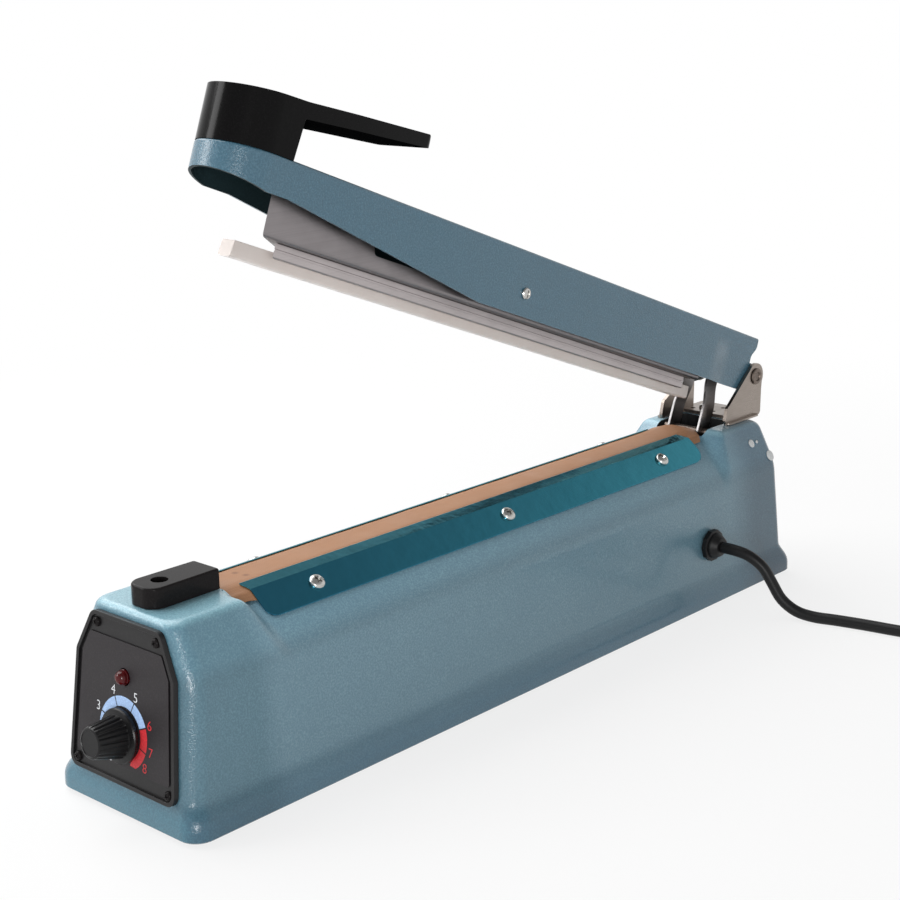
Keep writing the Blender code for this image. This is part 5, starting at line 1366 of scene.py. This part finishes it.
@dataclass
class PressArm:
    """Folded arm cover, handle, press bar and its pivot."""

    paint: Finishes
    half: float = 18.5 * MM
    sheet: float = 1.2 * MM
    top: float = 19.5 * MM
    nose: float = 367.6 * MM
    skirt: float = -9.5 * MM
    nose_edge: float = 4.6 * MM
    pinched: float = 2.4 * MM
    web: float = -10.8 * MM
    bar_half: float = 12 * MM
    strip_top: float = 14.45 * MM

    def plan(self, margin: float) -> list[Flat]:
        """The arm from above, drawn in by a margin."""
        half = self.half - margin
        return [(half, 12 * MM)] + arc((0.0, -self.nose), half, 0.0, -180.0, 40) + [(-half, 12 * MM)]

    def profile(self) -> list[Flat]:
        """The arm from the side: straight top, rising lower edge, rear lugs on the pin."""
        front = -(self.nose + self.half + 5 * MM)
        below = [(-9 * MM, self.skirt), (-235 * MM, self.skirt), (-355 * MM, self.nose_edge),
                 (-self.nose, self.nose_edge)]
        rear = [(-5.3 * MM, self.top + MM), (-5.3 * MM, 6.0 * MM)]
        lug = arc((0.0, 0.0), 6.0 * MM, 90.0, -60.0, 18)
        return below + [(front, 10.0 * MM), (front, self.top + MM)] + rear + lug

    def pinch(self, cover: Obj) -> None:
        """Draw the rear lower cheeks in softly, so that they pass between the bracket ears."""
        cuts = [((0, 1, 0), mix(-22.0, -48.0, step / 12)) for step in range(13)]
        cuts += [((0, 0, 1), mix(8.0, 15.0, step / 5)) for step in range(6)]
        for vert in sliced(cover, cuts).data.vertices:
            share = (1 - ramp(vert.co.z, 9 * MM, 15 * MM)) * (1 - ramp(-vert.co.y, 26 * MM, 46 * MM))
            vert.co.x -= math.copysign(self.pinched * share, vert.co.x)

    def looks_in(self, face: bpy.types.MeshPolygon) -> bool:
        """Whether a face of the cover looks into its hollow."""
        back = ARM.inverted()
        spot = back @ face.center
        spine = Vector((0.0, min(max(spot.y, -self.nose), 0.0), 0.0))
        return (back.to_3x3() @ face.normal).dot(spot - spine) < 0

    def build_cover(self) -> None:
        """Folded sheet cover, open below and behind."""
        ceiling = self.top - self.sheet
        cover = prism("cover", self.plan(0.0), Axis.Z, self.skirt - MM, self.top)
        bevel_edges(cover, 1.3 * MM, 5, above(self.top - 1e-6))
        inner = prism("inner", self.plan(self.sheet), Axis.Z, -40 * MM, ceiling)
        bevel_edges(inner, 0.4 * MM, 2, above(ceiling - 1e-6))
        carve(cover, prism("cutter", self.profile(), Axis.X, -40 * MM, 40 * MM), operation="INTERSECT")
        carve(cover, inner)
        for spot, radius in (((0.0, 0.0), 2.9 * MM), (PIVOT_SPOT, 2.3 * MM)):
            carve(cover, rod(Axis.X, spot, radius, -30 * MM, 30 * MM))
        self.pinch(cover)
        settle(cover, "folded_arm_cover", self.paint.arm, Body.ARM, ARM, ["arm_cover"], smooth=28.0)
        # Faces that look into the cover get painted shade.
        repaint(cover, self.paint.arm_inside, self.looks_in)

    def build_handle(self) -> None:
        """Lever handle with rounded, crowned edges."""
        front, foot, half = -(self.nose + self.half + 3 * MM), self.top - 0.2 * MM, self.half - 0.1 * MM
        side = [(front, foot), (-357.5 * MM, foot)]
        side += mm((-356, 36), (-280.9, 45.4), (-282.4, 50.9), (-356, 42.7)) + [(front, 40.9 * MM)]
        radii = (0.0, 0.0, MM, MM, 1.4 * MM, 60 * MM, 0.0)
        grip = prism("handle", rounded(side, radii, 6), Axis.X, -30 * MM, 30 * MM)
        tail = [(-half, -330 * MM)] + mm((-14.5, -280), (14.5, -280)) + [(half, -330 * MM)]
        tail = rounded(tail, (0.0, 4.5 * MM, 4.5 * MM, 0.0), 8)
        plan = prism("cutter", arc((0.0, -self.nose), half, 0.0, -180.0, 48) + tail, Axis.Z, 0.0, 80 * MM)
        carve(grip, plan, operation="INTERSECT")
        bevel_edges(grip, 1.8 * MM, 5, lambda edge: bend_over(35.0)(edge) and above(foot + MM)(edge))
        settle(grip, "moulded_handle", self.paint.handle, Body.ARM, ARM, ["handle"], smooth=40.0)
        upward = ARM.to_3x3() @ Vector((0.0, 0.0, 1.0))
        repaint(grip, self.paint.under, lambda face: face.normal.dot(upward) < -0.6)

    def build_pins(self) -> None:
        """Cross screw of the press bar and the link pin."""
        collar = self.half + GAP / 2
        steps = mm((2.7, 0), (2.7, 0.6), (2.3, 1.1), (1.3, 1.45), (0.3, 1.5))
        head = [(radius, collar + rise) for radius, rise in steps]
        pivot = turned("pivot", two_headed(head, 2 * MM), 32, Axis.X, PIVOT_SPOT)
        y, z = PIVOT_SPOT
        for side in (1, -1):
            low, high = sorted((side * (collar + 0.7 * MM), side * (collar + 3 * MM)))
            for wide, tall in mm((1.6, 0.35), (0.35, 1.6)):
                carve(pivot, block("cutter", (low, y - wide, z - tall), (high, y + wide, z + tall)))
        settle(pivot, "press_bar_cross_screw", self.paint.zinc, Body.ARM, ARM, ["press_bar_pivot"])
        profile = mm((1.7, -15.9), (2, -15.6), (2, 15.6), (1.7, 15.9))
        settle(turned("pin", profile, 24, Axis.X, LINK_SPOT), "link_upper_pin", self.paint.zinc, Body.ARM,
               ARM, ["link_pin"])

    @staticmethod
    def mitre(front: float, half: float) -> Obj:
        """Removes what lies ahead of a slanting front end, longest on the +X side."""
        lean, margin, ahead = 1.3, 2 * MM, -430 * MM
        near = -front - margin * lean
        far = near + 2 * (half + margin) * lean
        outline = [(half + margin, near), (-half - margin, far), (-half - margin, ahead), (half + margin, ahead)]
        return prism("cutter", outline, Axis.Z, -40 * MM, 40 * MM)

    def on_fold(self, edge: bmesh.types.BMEdge) -> bool:
        """Whether an edge of the channel is one of its two long folds."""
        flat = all(abs(vert.co.z - self.web) < 1e-6 for vert in edge.verts)
        outer = all(abs(abs(vert.co.x) - self.bar_half) < 1e-6 for vert in edge.verts)
        return flat and outer and edge.calc_length() > 50 * MM

    def build_channel(self) -> None:
        """Press bar channel, cut away along its upper edge."""
        web, tall, low = self.web, 7.0 * MM, -4.0 * MM
        stations = ((-44, web, 0.0), (-44, low, 2), (-188, low, 2), (-191, tall, 1.4), (-219, tall, 1.4),
                    (-222, low, 2), (-297, low, 2), (-301, tall, 1.4), (-359, tall, 2), (-359, web, 0.0))
        profile = rounded([(y * MM, z) for y, z, _ in stations], [radius * MM for *_, radius in stations], 5)
        channel = prism("channel", profile, Axis.X, -self.bar_half, self.bar_half)
        bevel_edges(channel, 1.8 * MM, 4, self.on_fold)
        carve(channel, block("cutter", (-10.8 * MM, -400 * MM, web + 1.2 * MM), (10.8 * MM, 0.0, 30 * MM)),
              rod(Axis.X, PIVOT_SPOT, 2.3 * MM, -30 * MM, 30 * MM), self.mitre(359 * MM, self.bar_half))
        settle(channel, "folded_press_channel", self.paint.channel, Body.BAR, ARM,
               ["press_bar_channel"])

    def build_carrier(self) -> None:
        """Drawn carrier with a groove along each side."""
        section = mm((-7, -11.1), (-7, -16.6), (-6.6, -17.0), (-4.3, -17.0), (-3.95, -16.6), (-3.95, -14.4),
                     (3.95, -14.4), (3.95, -16.6), (4.3, -17.0), (6.6, -17.0), (7, -16.6), (7, -11.1))
        carrier = prism("carrier", section, Axis.Y, -347 * MM, -50 * MM)
        groove = mm((6.4, -13.4), (8, -13.0), (8, -14.6), (6.4, -14.2))
        for side in (1, -1):
            carve(carrier, prism("cutter", [(side * x, z) for x, z in groove], Axis.Y, -400 * MM, 0.0))
        carve(carrier, self.mitre(347 * MM, 7 * MM))
        settle(carrier, "drawn_rubber_carrier", self.paint.aluminium, Body.BAR, ARM,
               ["rubber_carrier"])

    def build_strip(self) -> None:
        """Silicone strip that hangs a little unevenly at its ends."""
        section = rounded(mm((-3.6, -14.45), (-3.6, -21.1), (3.6, -21.1), (3.6, -14.45)),
                          (0.2 * MM, 1.2 * MM, 1.2 * MM, 0.2 * MM), 4)
        rings = []
        for step in range(66):
            y = mix(-364.6, -38.5, step / 65) * MM
            slant = 0.15 if step == 0 else 0.0
            sag = 0.12 * MM * math.sin(step * 0.9) * ramp(abs(step - 32.5), 24.0, 32.0)
            rings.append([(x, y + slant * (z + self.strip_top), z + (sag if z < -18 * MM else 0.0))
                          for x, z in section])
        settle(loft("strip", rings), "silicone_press_strip", self.paint.silicone, Body.BAR, ARM,
               ["silicone_strip"])

    def build(self) -> None:
        """Build the whole arm."""
        self.build_cover()
        self.build_handle()
        self.build_pins()
        self.build_channel()
        self.build_carrier()
        self.build_strip()


@dataclass
class Hinge:
    """Hinge bracket, pin, links, return spring and rear plugs."""

    paint: Finishes
    screws: Screws
    low: float = 81.7 * MM
    sheet: float = 1.8 * MM
    half: float = 18.4 * MM
    link_reach: float = 34.4
    spring_low: float = 24.95 * MM
    spring_high: float = 75.8 * MM
    spring_turns: int = 9
    spring_radius: float = 5.2 * MM
    spring_wire: float = 0.65 * MM

    def ear(self, side: int) -> list[Flat]:
        """One ear in side view; the left one's foot stands further forward."""
        front, rear, turn = (386.0, 420.0, -30.0) if side > 0 else (378.0, 408.0, -156.0)
        steps = 5
        eye = arc(HINGE_SPOT, 7.0 * MM, turn, 140.0, 24)
        corners = mm((front, 81.7), (rear, 81.7), (rear + 0.4, 95.2), (front + 2.5, 91.2))
        foot = rounded(corners, (2 * MM, 2 * MM, 0.0, 2 * MM), steps)
        return foot[:-(steps + 1)] + eye + foot[-(steps + 1):]

    def build_bracket(self) -> None:
        """Folded bracket with ears on turned-out feet, and its screws."""
        deck = self.low + self.sheet
        bracket = block("bracket", (-self.half, 398 * MM, self.low), (self.half, 419 * MM, deck))
        for side in (1, -1):
            near, far = sorted((side * (self.half - self.sheet), side * self.half))
            carve(bracket, prism("ear", self.ear(side), Axis.X, near, far), operation="UNION")
            front = 387 * MM if side > 0 else 379 * MM
            near, far = (near, far + 2 * MM) if side > 0 else (near - 2 * MM, far)
            plan = rounded(oblong(near, front, far, front + 29 * MM), 1.5 * MM, 5)
            carve(bracket, prism("foot", plan, Axis.Z, 81.6 * MM, 82.6 * MM), operation="UNION")
        carve(bracket, rod(Axis.X, HINGE_SPOT, 2.9 * MM, -30 * MM, 30 * MM))
        for hole in mm((0, 402.5), (-13, 402.5), (13, 402.5), (0, 412)):
            carve(bracket, rod(Axis.Z, hole, 1.3 * MM, 70 * MM, 90 * MM, 20))
        bevel_edges(bracket, 0.3 * MM, 2, bend_over(50.0))
        settle(bracket, "folded_bracket", self.paint.bracket, Body.BASE, replaces=["hinge_bracket"])
        for index, side in enumerate((1, -1), start=1):
            where = BENCH @ Matrix.Translation((side * 8 * MM, 406.5 * MM, deck + GAP / 2))
            self.screws.place(f"bracket_pan_screw_{index}", f"bracket_screw_{index}", (3.2, 2.0), where,
                              self.paint.zinc)

    def build_pin(self) -> None:
        """Hinge pin with hollow heads."""
        collar = self.half + GAP / 2
        steps = mm((4.3, 0), (4.4, 0.3), (4.2, 0.8), (3.6, 1.1), (2.6, 1.1), (2.2, 0.5), (0.4, 0.45))
        profile = two_headed([(radius, collar + rise) for radius, rise in steps], 2.6 * MM)
        settle(turned("pin", profile, 36, Axis.X, HINGE_SPOT), "hinge_axle", self.paint.dull, Body.BASE,
               replaces=["hinge_pin"])

    def link(self, side: int) -> Obj:
        """A flat link that steps outwards below the arm, with round ends and eyes."""
        reach, half, thick = self.link_reach, 4.8, 0.75
        rings = []
        for index in range(61):
            down = mix(-5.0, reach + 5.0, index / 60)
            beyond = max(-down, down - reach, 0.0)
            width = math.sqrt(max(half ** 2 - (beyond * half / 5.02) ** 2, 0.05))
            out = mix(7.2, 9.2, ramp(down, 8.0, 22.0)) * side
            section = rounded(oblong(out - thick, -width, out + thick, width), 0.22, 2)
            rings.append(mm(*((x, y, -down) for x, y in section)))
        link = loft("link", rings)
        for down in (0.0, reach):
            carve(link, rod(Axis.X, (0.0, -down * MM), 2.3 * MM, -20 * MM, 20 * MM))
        return link

    def build_links(self) -> None:
        """Both links and their cross pin."""
        for name, side in (("right", 1), ("left", -1)):
            settle(self.link(side), f"stepped_link_{name}", self.paint.link, Body.LINKS, LINK,
                   [f"link_{name}"])
        profile = mm((1.7, -14), (2, -13.7), (2, 13.7), (1.7, 14))
        settle(turned("pin", profile, 24, Axis.X, (0.0, -self.link_reach * MM)), "link_lower_pin",
               self.paint.dull, Body.LINKS, LINK, ["link_cross_pin"])

    def build_spring(self) -> None:
        """Return spring as one fixed coil; the real one shortens as the arm comes down."""
        foot = LINK @ Vector((0.0, 0.0, -self.link_reach * MM))
        floor = BENCH.translation.z
        count = self.spring_turns * 24
        points = []
        for step in range(count + 1):
            angle = 2 * math.pi * self.spring_turns * step / count
            z = mix(self.spring_low, self.spring_high, step / count)
            points.append((self.spring_radius * math.cos(angle),
                           foot.y + self.spring_radius * math.sin(angle), z + floor))
        select_only(tube("spring", points, self.spring_wire, 3))
        bpy.ops.object.convert(target="MESH")
        spring = bpy.context.active_object
        settle(spring, "coiled_return_spring", self.paint.zinc, Body.BASE, Matrix.Identity(4),
               ["return_spring"], 60.0)
        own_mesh(spring)

    def build_marks(self) -> None:
        """Small pale plugs in the rear of the housing."""
        tilt = math.atan(CHAMFER_SLOPE)
        normal = Vector((math.cos(tilt), 0.0, math.sin(tilt)))
        turn = Vector((0, 0, 1)).rotation_difference(normal).to_matrix().to_4x4()
        profile = ((0.6, -0.8), (0.6, 0.05), (1.0, 0.1), (1.0, 0.35), (0.8, 0.6), (0.3, 0.7))
        plugs = ((394.3, 72.0, 2.2), (399.2, 72.0, 0.9), (406.0, 63.8, 2.8))
        for index, (y, z, radius) in enumerate(plugs, start=1):
            x = CREASE[0] - CHAMFER_SLOPE * (z - CREASE[1])
            where = BENCH @ Matrix.Translation((x * MM, y * MM, z * MM)) @ turn
            plug = turned("plug", mm(*((radius * share, height) for share, height in profile)), 24)
            settle(plug, f"rear_plug_{index}", self.paint.pale, Body.BASE, where)

    def build(self) -> None:
        """Build the whole hinge end."""
        self.build_bracket()
        self.build_pin()
        self.build_links()
        self.build_spring()
        self.build_marks()


def tube(name: str, points: Sequence[Point], radius: float, resolution: int) -> Obj:
    """A round tube along points, as one open spline with filled ends.

    Args:
        name: Name of the object.
        points: Centre line.
        radius: Radius of the tube.
        resolution: Bevel resolution.

    Returns:
        The curve object.
    """
    curve = bpy.data.curves.new(name, "CURVE")
    curve.dimensions = "3D"
    curve.bevel_depth = radius
    curve.bevel_resolution = resolution
    curve.use_fill_caps = True
    spline = curve.splines.new("POLY")
    spline.points.add(len(points) - 1)
    for spot, point in zip(spline.points, points):
        spot.co = (*point, 1.0)
    obj = bpy.data.objects.new(name, curve)
    bpy.context.scene.collection.objects.link(obj)
    return obj


@dataclass
class Cord:
    """Gland, mains cord with its put-away coil, tie and plug."""

    paint: Finishes
    radius: float = 2.9 * MM
    table: float = -1.6 * MM
    gland: Point = (46.0 * MM, *GLAND_SPOT)
    coil: Flat = (190.0 * MM, 411.0 * MM)
    outer: float = 41.0 * MM
    pitch: float = 6.5 * MM
    layer_turns: float = 2.875
    climb_turns: float = 0.5
    tail: float = 23.0 * MM

    @property
    def low(self) -> float:
        """Height of the coil's lower layer."""
        return self.table + self.radius + 0.9 * MM

    @property
    def high(self) -> float:
        """Height of the coil's upper layer."""
        return self.low + 2 * self.radius + 0.5 * MM

    def route(self) -> list[Vector]:
        """Listed points from the gland to the coil."""
        flat = self.table + self.radius
        x, y, z = self.gland
        reach = self.coil[0] - 2 * self.radius
        start = self.coil[1] - self.outer
        points = [(x + GAP, y, z), (x + 2 * self.radius, y, z)]
        points += mm((60.6, 346.2, 28.9), (67.8, 348.3, 23.7), (72.6, 349.7, 16.0), (77.4, 351.1, 8.3),
                     (84.7, 353.2, 3.1))
        points += [(*spot, flat) for spot in mm((93.4, 355.7), (104.0, 358.6), (118.0, 361.9), (136.5, 365.4))]
        points += [(157 * MM, 368.7 * MM, self.low), (reach - 2 * self.radius - GAP, start, self.low),
                   (reach - GAP, start, self.low)]
        return [Vector(point) for point in points]

    def free_run(self) -> list[Vector]:
        """Points of a smooth curve along the route."""
        path = self.route()
        points = [path[0]]
        for before, start, end, after in zip(path, path[1:], path[2:], path[3:]):
            for step in range(4):
                t = step / 4
                square = 2 * before - 5 * start + 4 * end - after
                cube = 3 * start - before - 3 * end + after
                points.append(0.5 * (2 * start + (end - before) * t + square * t ** 2 + cube * t ** 3))
        return points + [path[-2]]

    def coil_run(self) -> list[Vector]:
        """Points of the coil: in along the table, a climb, and out on top."""
        total = 2 * self.layer_turns + self.climb_turns
        count = round(total * 36)
        points = []
        for step in range(count + 1):
            turn = total * step / count
            radius = self.outer - self.pitch * min(turn, total - turn)
            climb = ramp(turn, self.layer_turns, self.layer_turns + self.climb_turns)
            angle = -math.pi / 2 + 2 * math.pi * turn
            points.append(Vector((self.coil[0] + radius * math.cos(angle), self.coil[1] + radius * math.sin(angle),
                                  mix(self.low, self.high, climb))))
        return points + [points[-1] + Vector((0.0, self.tail * share, 0.0)) for share in (0.33, 0.66, 1.0)]

    def build(self) -> None:
        """Build gland, cord, tie and plug."""
        gland = self.build_gland()
        line = [BENCH @ point for point in self.free_run() + self.coil_run()]
        cord = tube("mains_lead", [tuple(point) for point in line], self.radius, 5)
        cord.data.materials.append(self.paint.rubber)
        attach(cord, Body.BASE.value)
        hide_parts("mains_cord", "mains_cord_coil")
        plug = self.build_plug()
        tie = self.build_tie()

    def build_gland(self) -> Obj:
        """Gland with a flat faceted nut and a tapered nose."""
        profile = mm((7.0, 25), (7.0, 34), (5.6, 34.1), (5.6, 38.6), (6.6, 38.6), (6.6, 42.4), (6.3, 42.9),
                     (5.4, 44.4), (4.6, 45.7), (3.9, 46.0))
        gland = turned("gland", profile, 48, Axis.X, GLAND_SPOT)
        nut = mm((7.8, 38.6), (8.2, 38.9), (8.2, 41.2), (7.5, 41.6))
        carve(gland, turned("nut", nut, 10, Axis.X, GLAND_SPOT), operation="UNION")
        return settle(gland, "ribbed_gland", self.paint.rubber, Body.BASE, replaces=["cable_gland"])

    def build_tie(self) -> Obj:
        """Flat band round the coil with a small lock."""
        slack = 0.8 * MM
        inner = self.outer - self.pitch * (self.layer_turns + self.climb_turns / 2) - self.radius - slack
        outer = self.outer + self.radius + slack
        low, high = self.table + 0.1 * MM, self.high + self.radius + slack
        x, start = self.coil[0], self.coil[1] - 3.5 * MM
        corners = oblong(x - outer, low, x - inner, high)
        hole = rounded(inset(corners, 0.5 * MM), 0.8 * MM, 5)
        band = prism("tie", rounded(corners, 1.2 * MM, 5), Axis.Y, start, start + 7 * MM)
        carve(band, prism("cutter", hole, Axis.Y, start - MM, start + 8 * MM))
        lock = block("lock", (x - 36 * MM, start - 0.4 * MM, high - 0.2 * MM),
                     (x - 29 * MM, start + 7.4 * MM, high + 1.4 * MM))
        bevel_edges(lock, 0.5 * MM, 2, bend_over(60.0))
        carve(band, lock, operation="UNION")
        return settle(band, "coil_tie", self.paint.satin, Body.BASE, replaces=["cord_tie"])

    def plug_body(self, start: Vector) -> Obj:
        """Moulded plug with a ribbed neck."""
        levels = mm((0.0, 3.9, 3.9, 1.9), (3.0, 4.2, 4.2, 2.0), (10.0, 4.9, 4.7, 2.3), (17.0, 5.6, 5.4, 2.6),
                    (19.0, 8.0, 7.0, 3.0), (22.0, 10.2, 8.2, 3.6), (26.0, 11.6, 9.0, 4.0), (30.0, 12.2, 9.4, 4.0),
                    (34.0, 12.6, 9.6, 4.0), (40.0, 12.8, 9.7, 4.0), (46.0, 13.0, 9.8, 4.0), (48.0, 12.8, 9.6, 4.0),
                    (49.0, 12.2, 9.0, 4.0))
        body = loft("plug", [[(start.x + x, start.y + along, start.z + z)
                              for x, z in rounded(oblong(-wide, -tall, wide, tall), corner, 6)]
                             for along, wide, tall, corner in levels])
        for index in range(4):
            along = 4.5 + 3.6 * index
            y, cut = start.y + along * MM, 3.9 + 0.1 * along
            for side in (1, -1):
                low, high = sorted((start.x + side * (cut - 0.7) * MM, start.x + side * (cut + 4) * MM))
                carve(body, block("cutter", (low, y, start.z - 9 * MM), (high, y + 1.6 * MM, start.z + 9 * MM)))
        return body

    def build_plug(self) -> list[Obj]:
        """Moulded plug, and its metal pins: two blades and a round one."""
        start = self.coil_run()[-1] + Vector((0.0, GAP, 0.0))
        body = self.plug_body(start)
        face = start.y + 48.6 * MM
        pins = []
        for side in (1, -1):
            x = start.x + side * 6.3 * MM
            pins.append(block("pin", (x - 0.8 * MM, face, start.z - 6.5 * MM),
                              (x + 0.8 * MM, start.y + 66 * MM, start.z - 0.2 * MM)))
        ends = [(2.3 * MM, face)] + [(radius, start.y + along) for radius, along in
                                     mm((2.3, 67), (1.9, 68.5), (0.8, 69))]
        earth = turned("pin", ends, 24, Axis.Y, (start.x, start.z + 5.6 * MM))
        for pin in pins:
            bevel_edges(pin, 0.35 * MM, 2, bend_over(60.0))
        settle(body, "moulded_plug", self.paint.rubber, Body.BASE, replaces=["mains_plug"])
        return [body, settle(joined(*pins, earth), "plug_pins", self.paint.brass, Body.BASE)]


@dataclass
class Inside:
    """Pieces inside the housing that keep their CAD shape."""

    paint: Finishes

    def dress(self) -> None:
        """Give the kept nodes their finishes."""
        plated = ("potentiometer_shaft", "timer_potentiometer", "heating_element", "spring_guide", "switch_lever")
        terminals = ("element_terminal_front", "element_terminal_rear")
        finishes = {"switch_body": self.paint.satin, "circuit_board": self.paint.board,
                    "transformer_core": self.paint.core, "transformer_winding": self.paint.copper,
                    "element_bar": self.paint.aluminium, "insulation_strip": self.paint.cloth}
        finishes |= dict.fromkeys(plated, self.paint.bracket) | dict.fromkeys(terminals, self.paint.brass)
        for name, material in finishes.items():
            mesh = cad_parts[name].data
            mesh.materials.clear()
            mesh.materials.append(material)


@dataclass
class Studio:
    """Pale floor, soft lamps and the photograph's camera."""

    eye: Point = (512.25 * MM, -368.74 * MM, 311.0 * MM)
    azimuth: float = 42.44
    elevation: float = 15.09
    roll: float = -0.98
    lens: float = 69.84
    aim: Point = (0.0, 0.0, 0.1)

    def build_camera(self) -> None:
        """Camera at the photograph's angle."""
        a, e, r = (math.radians(value) for value in (self.azimuth, self.elevation, self.roll))
        back = Vector((math.sin(a) * math.cos(e), -math.cos(a) * math.cos(e), math.sin(e)))
        right = Vector((0.0, 0.0, 1.0)).cross(back).normalized()
        up = back.cross(right)
        across = right * math.cos(r) + up * math.sin(r)
        upward = up * math.cos(r) - right * math.sin(r)
        data = bpy.data.cameras.new("camera")
        data.lens = self.lens
        data.sensor_width = 36.0
        data.sensor_fit = "HORIZONTAL"
        camera = bpy.data.objects.new("camera", data)
        turn = Matrix((across, upward, back)).transposed().to_4x4()
        camera.matrix_world = Matrix.Translation(BENCH @ Vector(self.eye)) @ turn
        bpy.context.scene.collection.objects.link(camera)
        bpy.context.scene.camera = camera

    @staticmethod
    def seen_white(tree: Tree) -> Socket:
        """1 for rays that should see the white background."""
        path = put(tree, "ShaderNodeLightPath")
        seen = path.outputs["Is Camera Ray"]
        for name in ("Is Glossy Ray", "Is Transmission Ray"):
            seen = maths(tree, "MAXIMUM", seen, path.outputs[name])
        return seen

    def build_floor(self) -> None:
        """White floor that keeps the object's shadow."""
        bpy.ops.object.select_all(action="DESELECT")
        bpy.ops.mesh.primitive_plane_add(size=6.0, location=(0.0, 0.0, -0.05 * MM))
        floor = bpy.context.active_object
        floor.name = "studio_floor"
        material, tree, _ = new_material("studio_floor")
        tree.nodes.clear()
        coords = object_coords(tree)
        pale = blend_colours(tree, noise(tree, coords, 3.0), (0.86, 0.86, 0.86, 1.0), (0.9, 0.9, 0.9, 1.0))
        matte = put(tree, "ShaderNodeBsdfDiffuse", {"Color": pale})
        glow = put(tree, "ShaderNodeEmission", {"Color": (1.0, 1.0, 1.0, 1.0), "Strength": 1.0})
        away = put(tree, "ShaderNodeVectorMath", {0: coords}, operation="LENGTH").outputs["Value"]
        rise = span(tree, away, 0.3, 0.8, 0.8, 1.0, smooth=True)
        share = maths(tree, "MULTIPLY", self.seen_white(tree), rise)
        mixed = put(tree, "ShaderNodeMixShader", {0: share, 1: matte.outputs[0], 2: glow.outputs[0]})
        put(tree, "ShaderNodeOutputMaterial", {"Surface": mixed.outputs[0]})
        floor.data.materials.append(material)

    def build_world(self) -> None:
        """White horizon under a dimmer ceiling, as reflections see it; plain white for the camera."""
        world = bpy.data.worlds.new("studio")
        world.use_nodes = True
        tree = world.node_tree
        tree.nodes.clear()
        path = put(tree, "ShaderNodeLightPath")
        coords = put(tree, "ShaderNodeTexCoord").outputs["Generated"]
        up = put(tree, "ShaderNodeSeparateXYZ", {0: coords}).outputs["Z"]
        ceiling = span(tree, up, 0.35, 0.8, 1.0, 0.3, smooth=True)
        dimmed = maths(tree, "MULTIPLY", ceiling, span(tree, self.seen_white(tree), 0.0, 1.0, 0.45, 1.0))
        strength = span(tree, path.outputs["Is Camera Ray"], 0.0, 1.0, dimmed, 1.0)
        sky = put(tree, "ShaderNodeBackground", {"Color": (1.0, 1.0, 1.0, 1.0), "Strength": strength})
        put(tree, "ShaderNodeOutputWorld", {"Surface": sky.outputs[0]})
        bpy.context.scene.world = world

    def build_lamps(self) -> None:
        """Three soft boxes."""
        lamps = (("key", (-1.2, -1.3, 0.9), (0.6, 0.6), 8.2), ("front", (1.0, -1.15, 0.3), (0.14, 0.6), 7.0),
                 ("top", (-1.05, -0.1, 1.5), (1.8, 1.8), 38.0))
        for name, where, size, power in lamps:
            lamp = bpy.data.lights.new(name, "AREA")
            lamp.shape = "RECTANGLE"
            lamp.size, lamp.size_y = size
            lamp.energy = power
            obj = bpy.data.objects.new(name, lamp)
            turn = (Vector(self.aim) - Vector(where)).to_track_quat("-Z", "Y").to_matrix().to_4x4()
            obj.matrix_world = Matrix.Translation(where) @ turn
            bpy.context.scene.collection.objects.link(obj)

    def build(self) -> None:
        """Set up camera, floor, surroundings and lamps."""
        self.build_camera()
        self.build_floor()
        self.build_world()
        self.build_lamps()
        bpy.context.scene.view_settings.view_transform = "Standard"


def main() -> None:
    """Build the studio and every piece in order."""
    logging.basicConfig(level=logging.INFO, format="%(message)s")
    Studio().build()
    paint = Finishes()
    screws = Screws()
    Cord(paint).build()
    Housing(paint).build()
    Bed(paint, screws).build()
    Panel(paint, screws).build()
    PressArm(paint).build()
    Hinge(paint, screws).build()
    Inside(paint).dress()


if __name__ == "__main__":
    main()
